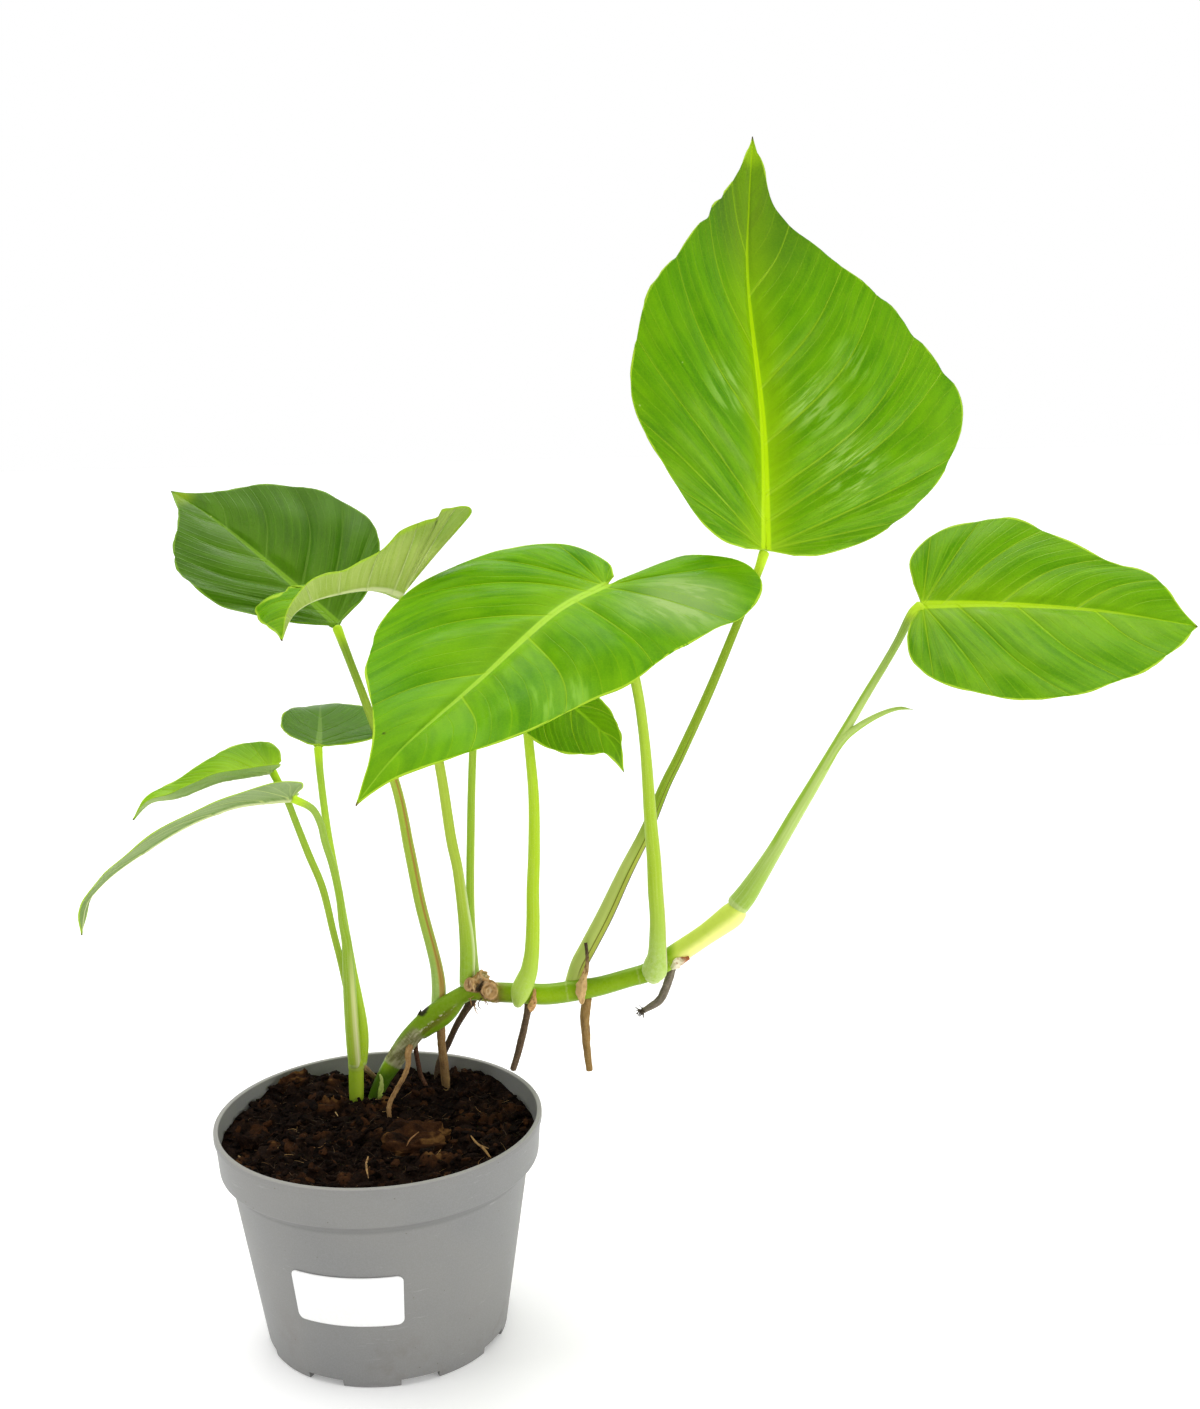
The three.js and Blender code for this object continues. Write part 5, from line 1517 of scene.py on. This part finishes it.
        # Painted shadow in the cleft between the stubs
        cleft = np.linalg.norm((points - np.array(KNOB_SHADOW_CLEFT)) * np.array([1.3, 1, 0.8]), axis=1)
        coat("2c1a10", smoothstep(cleft + 1.2 * fine, 4.2, 2.0))
        self.rise += knob * (0.5 * fine + 0.9 * (0.35 - np.abs(paper)))
        self.dry = np.maximum(self.dry, knob)
        stub = np.linalg.norm(points - np.array(TWIG_STUB[2][:3]), axis=1)
        coat("1c1f12", smoothstep(stub + 0.6 * fine, 4.0, 2.8))
        for centre, facing, radius, inner in KNOB_SCARS:
            away = np.linalg.norm(points - np.array(centre), axis=1)
            face = smoothstep(self.normals @ unit(np.array(facing, float)), 0.25, 0.6)
            ring = hump(away + 0.3 * fine, radius, 0.6) * face
            inside = smoothstep(away, radius - 0.3, radius - 1.1) * face
            coat("caa070", ring)
            coat(inner, inside)
            coat("6b4a2a", 0.7 * inside * smoothstep(paper - 0.4 * fine, 0.1, 0.6))
            coat("dfc39a", 0.6 * inside * smoothstep(np.sin(1.6 * away + 2.5 * paper), 0.4, 0.9))
            self.rise += 0.35 * ring - 0.5 * inside

    def add_rings(self):
        for mark in STEM_RINGS:
            ring = hump(self.at + 0.4 * self.blotch, mark * self.stem.length, 0.35)
            self.paint.coat("b5c070", 0.45 * ring)
            self.rise += 0.12 * ring


def build_main_stem():
    parts = [
        tube(MAIN_STEM, sides=40, step=1.2), tube(ROOT_BULGE, sides=28, step=1.2),
        tube(TWIG_STUB, sides=12, step=0.8),
        *(tube(rows, sides=28, step=1.0, ends=0.15) for rows in CUT_STUBS),
    ]
    points, normals, faces = fused(parts)
    skin = StemSkin(points, normals)
    skin.add_greens()
    skin.add_woody_patch()
    skin.add_knob()
    skin.add_rings()
    points = points + normals * skin.rise[:, None]
    material = painted_material("stem_skin", rough=0.36, depth=0.00016, shine=0.25, tint=LEAF_SHEEN)
    make_piece("stem_main", points, faces, [material], ["main_stem"], skin.paint.values(skin.dry))


def build_side_stem():
    sides = 40
    points, faces, along, angle = tube(SIDE_STEM, sides, step=0.8)
    centre = points.reshape(-1, sides, 3).mean(axis=1).repeat(sides, axis=0)
    node_at = SIDE_NODE_AT * along.max()
    node, below = hump(along, node_at, 1.1), hump(along, node_at - 2.2, 0.6)
    points = points - unit(points - centre + 1e-9) * (0.25 * node + 0.15 * below)[:, None]
    paint = Paint("b6d237", points)
    paint.coat("9fc02a", smoothstep(np.cos(angle + 0.8), 0.0, 1.0))
    paint.coat("d6e284", 0.35 * node)
    paint.coat("6f7d1c", smoothstep(points[:, 2], 99, 94))
    material = painted_material("side_stem_skin", rough=0.36, depth=0.00012, shine=0.25, tint=LEAF_SHEEN)
    make_piece("stem_side", points, faces, [material], ["side_stem"], paint.values(0.2 * node))


def build_root(name, rows, look, seed):
    """A dry root: ridged along its length, knobbly, and frayed at a hanging end"""
    def relief(angle, along, length):
        ring = np.stack(np.broadcast_arrays(np.cos(angle) * 2, np.sin(angle) * 2, along * 0.12), axis=-1)
        ridges = look["ridges"] * rough_noise(ring * 1.4, 1.0, seed)
        crack = look["cracks"] * np.maximum(0, np.sin(along * 1.7 + 3 * noise_at(ring, 1.0, seed + 5)))
        rings = look["rings"] * np.sin(along * 3.0) * smoothstep(along, 0.1 * length, 0.4 * length)
        return 1 + ridges - crack + rings
    points, faces, along, angle = tube(rows, sides=22, step=0.9, relief=relief, ends=0.4)
    length = along.max()
    paint = Paint(look["colour"], points)
    row = np.stack([np.cos(angle), np.sin(angle), along * 0.1], axis=-1)
    paint.coat(look["dark"], 0.6 * smoothstep(rough_noise(row, 0.5, seed + 2), 0.0, 0.7))
    paint.coat(look["light"], 0.6 * smoothstep(rough_noise(row, 0.35, seed + 9), 0.3, 0.8))
    paint.coat(look.get("foot", look["colour"]), smoothstep(along, 0.55 * length, length))
    shape = Shape()
    shape.add(points, faces, **paint.values())
    random = np.random.default_rng(seed)
    path = Path(rows)
    for _ in range(look.get("frays", 0)):
        start = path.rows[-1, :3] + random.normal(0, 0.5, 3)
        way = path.ahead(path.length) + random.normal(0, 0.35, 3)
        length, radius = random.uniform(2.0, 5.5), random.uniform(0.25, 0.6)
        add_fibre(shape, random, start, way, length, radius, look["dark"])
    material = painted_material(f"root_{name}", rough=0.8, depth=0.0003, shine=0.25, grain=420.0)
    shape.finish(f"aerial_{name}", [material], "root", [f"root_{name}"])


def add_fibre(shape, random, start, way, length, radius, colour):
    """A short bent hair with a fine tip"""
    way = unit(np.asarray(way, float))
    turn = random.normal(0, 0.35, 3)
    row = np.asarray(start, float)
    rows = []
    for k in range(4):
        rows.append([*row, radius * (1 - 0.22 * k)])
        row = row + way * length / 3
        way = unit(way + turn)
    points, faces, *_ = tube(rows, sides=4, step=max(length / 5, 0.8), ends=0.3)
    shape.add(points, faces, **Paint(colour, points).values())


def build_knob_hairs():
    """Dark dry fibres that hang from the knob where an old shoot was cut"""
    random = np.random.default_rng(HAIR_SEED)
    shape = Shape()
    for k in range(KNOB_HAIRS):
        start = np.array([random.uniform(41, 50), random.uniform(42, 46), random.uniform(140.5, 146)])
        way = np.array([random.normal(-0.1, 0.5), -0.25, -1.0 + random.normal(0, 0.4)])
        colour = KNOB_HAIR_COLOURS[k % len(KNOB_HAIR_COLOURS)]
        add_fibre(shape, random, start, way, random.uniform(2, 6), random.uniform(0.15, 0.42), colour)
    shape.finish("knob_hairs", [painted_material("dry_fibre", rough=0.9, depth=0.0001, shine=0.2)], "root")


def build_scale(name, rows, look, seed):
    """A dry torn strip of sheath, thin and crumpled, that clings to the stem"""
    path = Path(rows)
    along = np.linspace(0, path.length, SCALE_ROWS)
    ahead = path.ahead(along)
    front = square_to(ahead, SCALE_FACING)
    side = np.cross(ahead, front)
    at = path.at(along)
    bend = np.linspace(-1, 1, SCALE_COLUMNS)
    grid = np.stack(np.broadcast_arrays(along[:, None] * 0.5, bend[None] * 1.2, 0.0), axis=-1)
    crumple = look.get("crumple", 0.7) * rough_noise(grid, 1.0, seed)
    half = at[:, 3:4] * (1 + 0.18 * noise_at(grid * 1.7, 1.0, seed + 3))
    middle = (at[:, None, :3] + side[:, None] * (bend * half)[..., None]
              + front[:, None] * (crumple + look["cup"] * half * (1 - bend ** 2))[..., None])
    shifts = (SCALE_HALF_THICK, -SCALE_HALF_THICK)
    points, faces = shell([middle + front[:, None] * shift for shift in shifts])
    paint = Paint(look["colour"], points)
    spots = np.tile(rough_noise(grid * 2.0, 1.0, seed + 7).ravel(), 2)
    paint.coat(look["dark"], smoothstep(spots, 0.0, 0.7))
    share = np.tile(np.repeat(along / path.length, len(bend)), 2)
    paint.coat(look["tip"], smoothstep(share, 0.45, 0.9))
    paint.coat(look.get("foot", look["colour"]), smoothstep(share, 0.45, 0.2))
    material = painted_material(f"papery_{name}", rough=0.75, depth=0.0002, shine=0.3, grain=500.0)
    make_piece(f"dry_{name}", points, faces, [material], [name], paint.values())


# Bark and coir

class Chance:
    """The small repeatable random source that also places the chips of the soil's solid"""

    def __init__(self, seed):
        self.state = seed

    def random(self):
        self.state = (self.state + 0x6D2B79F5) & WORD
        mixed = ((self.state ^ (self.state >> 15)) * (1 | self.state)) & WORD
        mixed = ((mixed + (((mixed ^ (mixed >> 7)) * (61 | mixed)) & WORD)) & WORD) ^ mixed
        return ((mixed ^ (mixed >> 14)) & WORD) / (WORD + 1)

    def uniform(self, low, high):
        return low + (high - low) * self.random()


def spot_within(source, reach):
    """A random X and Y no further than reach from the middle"""
    radius = reach * math.sqrt(source.random())
    angle = source.uniform(0, 2 * math.pi)
    return radius * math.cos(angle), radius * math.sin(angle)


def soil_height(x, y):
    swell = 1.1 * np.sin(x / 17 + 1.3) * np.cos(y / 21 - 0.4)
    lumps = 0.9 * np.sin(x / 6.1 + y / 9.3) * np.sin(y / 5.3 - x / 12.7 + 2)
    return SOIL_LEVEL + swell + lumps


def soil_heaped(x, y):
    """The soil's height with the mix heaped against the wall"""
    height = soil_height(x, y)
    for middle, reach, high in SOIL_HEAPS:
        height = height + high * hump(np.hypot(x - middle[0], y - middle[1]), 0, reach)
    return height


def soil_top(x, y):
    """The loose surface: the heaped height with clods, clumps and crumbs"""
    place = np.stack(np.broadcast_arrays(x, y, 0.0), axis=-1)
    bumps = sum(high * (np.abs(noise_at(place, wide, seed)) - 0.3) for high, wide, seed in SOIL_BUMPS)
    edge = 1 - smoothstep(np.hypot(x, y), 0.93 * SOIL_RADIUS, SOIL_RADIUS)
    return soil_heaped(x, y) + bumps * (0.3 + 0.7 * edge)


def held_in_pot(points):
    """Brings points that would pass the pot's wall back to its inner face"""
    away = np.hypot(points[:, 0], points[:, 1])
    points[:, :2] *= np.minimum(1, (SOIL_RADIUS - WALL_CLEAR) / np.maximum(away, 1))[:, None]
    return points


def soil_material(name):
    """Dark damp bark and coir: brown to nearly black, with rusty splinters"""
    shader = Shader(name)
    tone = shader.value("tone")
    place = shader.place()
    grain = shader.noise(place, 900, 4, 0.65)
    colour = shader.layers(
        "080504",
        (shader.band(tone, 0.0, 0.5), "1a100b"),
        (shader.band(tone, 0.5, 0.9), "3c2312"),
        (shader.band(tone, 0.93, 1.1), "6b4a28"),
        (shader.band(grain, 0.4, 0.75, 0.0, 0.4), "3a251a"),
        (shader.band(grain, 0.2, 0.48, 0.6, 0.0), "060302"),
    )
    height = shader.plus(grain, shader.times(shader.noise(place, 300, 3), 1.5))
    return shader.finish(colour, 0.92, height, depth=0.001, specular=0.05)


def build_soil():
    rings = rings_round([
        (0.0, FLOOR_TOP + GAP), (POT_INNER_FOOT - GAP, FLOOR_TOP + GAP),
        (BODY_TOP_RADIUS - WALL - GAP, BODY_TOP_HEIGHT + 1),
        (BAND_FOOT_RADIUS - WALL - GAP, BAND_FOOT_HEIGHT + 1),
    ], SOIL_SPOKES)
    surface = [(radius, 0.0) for radius in np.linspace(SOIL_RADIUS, 0, SOIL_SURFACE_RINGS)]
    for ring in rings_round(surface, SOIL_SPOKES):
        ring[:, 2] = soil_top(ring[:, 0], ring[:, 1])
        rings.append(ring)
    points = np.vstack(rings)
    raised = points[:, 2] - soil_heaped(points[:, 0], points[:, 1])
    tone = 0.3 + 0.16 * raised + 0.25 * rough_noise(points, 9.0, 51) + 0.15 * noise_at(points, 2.0, 52)
    material = soil_material("bark_and_coir")
    faces = grid_faces(len(rings), SOIL_SPOKES, wrap=True)
    make_piece("soil_bed", points, faces, [material], ["soil"], {"tone": tone})
    build_chips(material)
    build_crumbs(material)
    build_soil_fibres()


def lump(random, size, rough, rows=9, columns=14, boxy=0.55):
    """A rough block about the origin, squarer for a smaller boxy, with splinters along X"""
    turn = np.linspace(-np.pi / 2, np.pi / 2, rows)[:, None]
    round_at = (np.arange(columns) * 2 * np.pi / columns)[None]
    across, up = np.cos(turn) * np.cos(round_at), np.cos(turn) * np.sin(round_at)
    way = np.stack(np.broadcast_arrays(np.sin(turn), across, up), -1)
    block = np.sign(way) * np.abs(way) ** boxy
    seed = int(random.integers(1, 9999))
    points = block.reshape(-1, 3) * np.array(size) / 2
    stretch = np.array([0.35, 1.0, 1.0])
    push = rough_noise(points * stretch, min(size) * 0.7, seed)
    points = points * (1 + rough * push[:, None])
    return points, grid_faces(rows, columns, wrap=True)


def turned(points, tilt_x, tilt_y, turn_z, place):
    rotation = Euler((tilt_x, tilt_y, turn_z), "XYZ").to_matrix()
    return points @ np.array(rotation).T + np.array(place)


def build_chips(material):
    """The bark chips of the soil's solid, with rough faces, and the large pieces that show at the front"""
    chance = Chance(SOIL_SEED)
    random = np.random.default_rng(CHIP_SEED)
    shape = Shape()
    for _ in range(CHIP_COUNT):
        x, y = spot_within(chance, CHIP_REACH)
        size = [chance.uniform(*limits) for limits in CHIP_SIZES]
        tilts = [chance.uniform(-CHIP_TILT, CHIP_TILT) for _ in range(2)]
        turn = chance.uniform(0, math.pi)
        points, faces = lump(random, size, CHIP_ROUGH)
        place = (x, y, float(soil_heaped(x, y)) - CHIP_SUNK)
        points = held_in_pot(turned(points, tilts[0], tilts[1], turn, place))
        tone = 0.3 + 0.3 * random.random() + 0.25 * rough_noise(points * np.array([0.5, 1, 1]), 2.5, 61)
        shape.add(points, faces, tone=tone)
    for (x, y), size, turn, tone in CHUNKS:
        points, faces = lump(random, size, CHUNK_ROUGH, rows=30, columns=48, boxy=0.85)
        place = (x, y, float(soil_top(x, y)) - CHUNK_SUNK)
        points = turned(points, CHUNK_TILT, -CHUNK_TILT, math.radians(turn), place)
        grain = points * np.array([0.6, 1, 1])
        push = 2.2 * rough_noise(grain, 4.5, 71) + 1.2 * rough_noise(points, 1.6, 73)
        outwards = unit(points - np.array([x, y, CHUNK_PUSHED_FROM]))
        points = held_in_pot(points + push[:, None] * outwards)
        shape.add(points, faces, tone=tone + 0.45 * rough_noise(grain, 3.0, 72))
    shape.finish("soil_chips", [material], "soil", smooth=False)


def build_crumbs(material):
    random = np.random.default_rng(CRUMB_SEED)
    shape = Shape()
    for _ in range(CRUMB_COUNT):
        x, y = spot_within(random, CRUMB_REACH)
        long = 1.0 + 6.0 * random.random() ** 2.5
        size = (long, long * random.uniform(0.35, 0.8), long * random.uniform(0.2, 0.5))
        points, faces = lump(random, size, CRUMB_ROUGH, rows=5, columns=7, boxy=0.7)
        tilt = random.normal(0, 0.35, 2)
        place = (x, y, float(soil_top(x, y)) + 0.1 * size[2])
        points = held_in_pot(turned(points, tilt[0], tilt[1], random.uniform(0, math.pi), place))
        tone = 0.95 * random.random() ** 3 + 0.12 * noise_at(points, 1.5, 62)
        shape.add(points, faces, tone=tone)
    shape.finish("soil_crumbs", [material], "soil", smooth=False)


def build_soil_fibres():
    """Coir hairs on the surface, and the few pale splinters that stand out"""
    random = np.random.default_rng(FIBRE_SEED)
    shape = Shape()
    for _ in range(FIBRE_COUNT):
        x, y = spot_within(random, FIBRE_REACH)
        turn = random.uniform(0, 2 * math.pi)
        start = (x, y, float(soil_top(x, y)) + random.uniform(0.1, 0.8))
        way = (math.cos(turn), math.sin(turn), random.normal(0.05, 0.25))
        colour = FIBRE_COLOURS[int(len(FIBRE_COLOURS) * random.random() ** 3)]
        add_fibre(shape, random, start, way, random.uniform(2.5, 8), random.uniform(0.06, 0.17), colour)
    for start, end, radius, colour in SPLINTERS:
        start, end = np.array(start, float), np.array(end, float)
        middle = (start + end) / 2 + random.normal(0, 0.8, 3)
        rows = [[*start, 0.5 * radius], [*middle, radius], [*end, 0.3 * radius]]
        points, faces, *_ = tube(rows, sides=8, step=0.8, ends=0.4)
        paint = Paint(colour, points)
        paint.coat("5f4226", smoothstep(rough_noise(points, 1.5, 63), 0.1, 0.7))
        shape.add(points, faces, **paint.values())
    material = painted_material("coir", rough=0.9, depth=0.0001, shine=0.2, grain=500.0)
    shape.finish("soil_fibres", [material], "soil")


# Pot and label

def rounded(corners, radius):
    """An outline with its inner corners rounded off, at most by the radius given for each"""
    corners = np.asarray(corners, float)
    made = [corners[0]]
    for before, corner, after, size in zip(corners, corners[1:], corners[2:], radius):
        back, ahead = before - corner, after - corner
        reach = min(size, 0.45 * np.linalg.norm(back), 0.45 * np.linalg.norm(ahead))
        if reach <= 0:
            made.append(corner)
            continue
        first, last = corner + unit(back) * reach, corner + unit(ahead) * reach
        for t in np.linspace(0, 1, ROUNDING_STEPS):
            made.append((1 - t) ** 2 * first + 2 * t * (1 - t) * corner + t ** 2 * last)
    made.append(corners[-1])
    return np.array(made)


def body_radius(height):
    return BASE_RADIUS + (BODY_TOP_RADIUS - BASE_RADIUS) * height / BODY_TOP_HEIGHT


def cut_by(points, faces, cutters):
    """The points and faces left of a closed mesh once box and cylinder cutters are taken away"""
    work = work_object("cutting", points, faces)
    holder = bpy.data.collections.new("cutters")
    bpy.context.scene.collection.children.link(holder)
    made = [work_object("cutter", *cutter, holder) for cutter in cutters]
    cut = work.modifiers.new("cut", "BOOLEAN")
    cut.operation = "DIFFERENCE"
    cut.operand_type = "COLLECTION"
    cut.collection = holder
    cut.solver = "EXACT"
    points, _, faces = worked_mesh(work)
    for cutter in made:
        bpy.data.meshes.remove(cutter.data)
    bpy.data.collections.remove(holder)
    return points, faces


def box_at(size, place, turn):
    corners = np.array(list(itertools.product((-0.5, 0.5), repeat=3))) * np.array(size) + np.array(place)
    c, s = math.cos(turn), math.sin(turn)
    corners = corners @ np.array([[c, s, 0], [-s, c, 0], [0, 0, 1]])
    return corners, [(0, 1, 3, 2), (4, 6, 7, 5), (0, 4, 5, 1), (2, 3, 7, 6), (0, 2, 6, 4), (1, 5, 7, 3)]


def build_pot():
    band_top = RIM_RADIUS - LIP_PROUD
    lip_foot = POT_HEIGHT - LIP_HEIGHT
    band_high = POT_HEIGHT - BAND_FOOT_HEIGHT
    inner_top = BAND_FOOT_RADIUS - WALL + (band_top - BAND_FOOT_RADIUS) * (band_high - 1) / band_high
    corners = [
        (0, FLOOR_UNDER), (BASE_RADIUS - FOOT_RING_WIDTH, FLOOR_UNDER), (BASE_RADIUS - FOOT_RING_WIDTH, 0),
        (BASE_RADIUS, 0), (BODY_TOP_RADIUS, BODY_TOP_HEIGHT),
        (BODY_TOP_RADIUS + STEP_OUT, BODY_TOP_HEIGHT + STEP_UP), (BAND_FOOT_RADIUS, BAND_FOOT_HEIGHT),
        (band_top, lip_foot), (RIM_RADIUS, lip_foot), (RIM_RADIUS, POT_HEIGHT), (inner_top, POT_HEIGHT),
        (BAND_FOOT_RADIUS - WALL, BAND_FOOT_HEIGHT + 1), (BODY_TOP_RADIUS - WALL, BODY_TOP_HEIGHT + 1),
        (POT_INNER_FOOT, FLOOR_TOP), (0, FLOOR_TOP),
    ]
    roundings = (0.5, 0.5, 1.0, 0.35, 0.8, 0.7, 0.3, 0.6, 0.7, 0.6, 1.5, 1.5, 2.0)
    rings = rings_round(rounded(corners, roundings), POT_SPOKES)
    notch_wide = 2 * BASE_RADIUS * math.tan(math.radians(NOTCH_ANGLE / 2))
    cutters = []
    for k in range(NOTCH_COUNT):
        turn = math.radians(NOTCH_FIRST + 360 * k / NOTCH_COUNT)
        cutters.append(box_at((4 * FOOT_RING_WIDTH, notch_wide, 2 * NOTCH_HEIGHT), (BASE_RADIUS, 0, 0), turn))
    for k in range(DRAIN_COUNT):
        turn = 2 * math.pi * k / DRAIN_COUNT
        x, y = DRAIN_CIRCLE * math.cos(turn), DRAIN_CIRCLE * math.sin(turn)
        rows = [[x, y, FLOOR_UNDER - 2, DRAIN_RADIUS], [x, y, FLOOR_TOP + 2, DRAIN_RADIUS]]
        cutters.append(tube(rows, sides=24, step=4.0, ends=0.0)[:2])
    points, faces = cut_by(np.vstack(rings), grid_faces(len(rings), POT_SPOKES, wrap=True), cutters)
    pot = make_piece("pot_shell", points, faces, [pot_material()], ["pot"])
    pot.data.set_sharp_from_angle(angle=POT_SHARP_ANGLE)


def pot_material():
    """Moulded grey plastic: a fine mould grain, faint scuffs, earth smudges near the foot, a painted
    highlight on the lip and painted shade under the step
    """
    shader = Shader("pot_plastic")
    place = shader.place()
    height_at = shader.put("ShaderNodeSeparateXYZ", {"Vector": place}).outputs[2]
    broad, fine = shader.noise(place, 18, 3), shader.noise(place, 1600, 2)
    # The lip's pale band is a painted highlight
    lip = shader.band(height_at, (POT_HEIGHT - 0.7) * MM, (POT_HEIGHT - 0.25) * MM, 0.0, 0.4)
    # Painted shade under the step between the body and the band
    step_shade_low = shader.band(height_at, (BODY_TOP_HEIGHT - 2.0) * MM, (BODY_TOP_HEIGHT + 0.2) * MM)
    step_shade_high = shader.band(height_at, (BAND_FOOT_HEIGHT - 1.2) * MM, BAND_FOOT_HEIGHT * MM, 0.4, 0.0)
    smudge = shader.band(shader.noise(place, 42, 4, 0.65), 0.5, 0.72)
    low = shader.band(height_at, 0.0, 0.045, 0.55, 0.0)
    scuff_place = shader.put("ShaderNodeMapping", {"Vector": place, "Scale": (1.0, 1.0, 9.0)}).outputs[0]
    scuff = shader.band(shader.noise(scuff_place, 60, 4, 0.7), 0.63, 0.72, 0.0, 0.35)
    colour = shader.layers(
        POT_GREY,
        (shader.band(broad, 0.3, 0.7), POT_GREY_WARM),
        (shader.band(fine, 0.35, 0.7, 0.0, 0.2), "9a9b9b"),
        (lip, "aeaaa5"),
        (shader.times(step_shade_low, step_shade_high), "5c5c5c"),
        (shader.times(smudge, low), "77706a"),
        (scuff, "a9a8a6"),
        (shader.band(shader.cells(place, 130), 0.03, 0.05, 0.6, 0.0), "5f564c"),
    )
    rough = shader.band(broad, 0.3, 0.7, 0.46, 0.58)
    height = shader.plus(fine, shader.times(scuff, 0.8))
    return shader.finish(colour, rough, height, depth=0.00004, specular=0.4)


def build_label():
    """The bare paper sticker, bent round the tapered wall, with rounded corners"""
    half_wide, half_high = LABEL_WIDTH / 2, LABEL_HEIGHT / 2
    corner = np.sin(np.linspace(0, np.pi / 2, LABEL_CORNER_STEPS))
    straight = np.linspace(0, half_wide - LABEL_CORNER, LABEL_ACROSS_STEPS)[:-1]
    right = np.concatenate([straight, half_wide - LABEL_CORNER * (1 - corner)])
    x_at = np.concatenate([-right[::-1], right[1:]])
    past = np.maximum(0, np.abs(x_at) - (half_wide - LABEL_CORNER))
    half_at = half_high - LABEL_CORNER + np.sqrt(np.maximum(0, LABEL_CORNER ** 2 - past ** 2))
    rows = np.linspace(-1, 1, LABEL_UP_STEPS)
    height = LABEL_MIDDLE_HEIGHT + rows[None] * half_at[:, None]
    turn = math.radians(LABEL_MIDDLE_ANGLE) + x_at[:, None] / body_radius(LABEL_MIDDLE_HEIGHT)
    sheets = []
    for outwards in (LABEL_STANDOFF + LABEL_THICK, LABEL_STANDOFF):
        radius = body_radius(height) + outwards
        sheets.append(np.stack([radius * np.cos(turn), radius * np.sin(turn), height], -1))
    points, faces = shell(sheets)
    shader = Shader("sticker_paper")
    grain = shader.noise(shader.place(), 700, 3)
    colour = shader.mix(shader.band(grain, 0.3, 0.7), "fcfcfb", "ffffff")
    material = shader.finish(colour, 0.5, grain, depth=0.00002, specular=0.4)
    make_piece("sticker", points, faces, [material], ["pot_label"])


make_camera()
make_floor()
make_lights()
make_surround()
for number, (name, leaf) in enumerate(LEAVES.items()):
    build_leaf(name, {**BLADE_DEFAULTS, **leaf, **BLADE_STYLES[name]}, LEAF_SEED + number)
for name, rows in PETIOLES.items():
    build_stalk(name, rows, {**STALK_LOOK, **STALK_LOOKS.get(name, {})})
build_main_stem()
build_side_stem()
build_knob_hairs()
for number, (name, rows) in enumerate(ROOTS.items()):
    build_root(name, rows, {**ROOT_LOOK, **ROOT_LOOKS[name]}, ROOT_SEED + number)
for number, (name, rows) in enumerate(SCALES.items()):
    build_scale(name, rows, SCALE_LOOKS[name], SCALE_SEED + number)
build_soil()
build_pot()
build_label()

boxes = {"cad": CAD_BOX, "visual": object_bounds()}
{key: [list(corner) for corner in box] for key, box in boxes.items()}
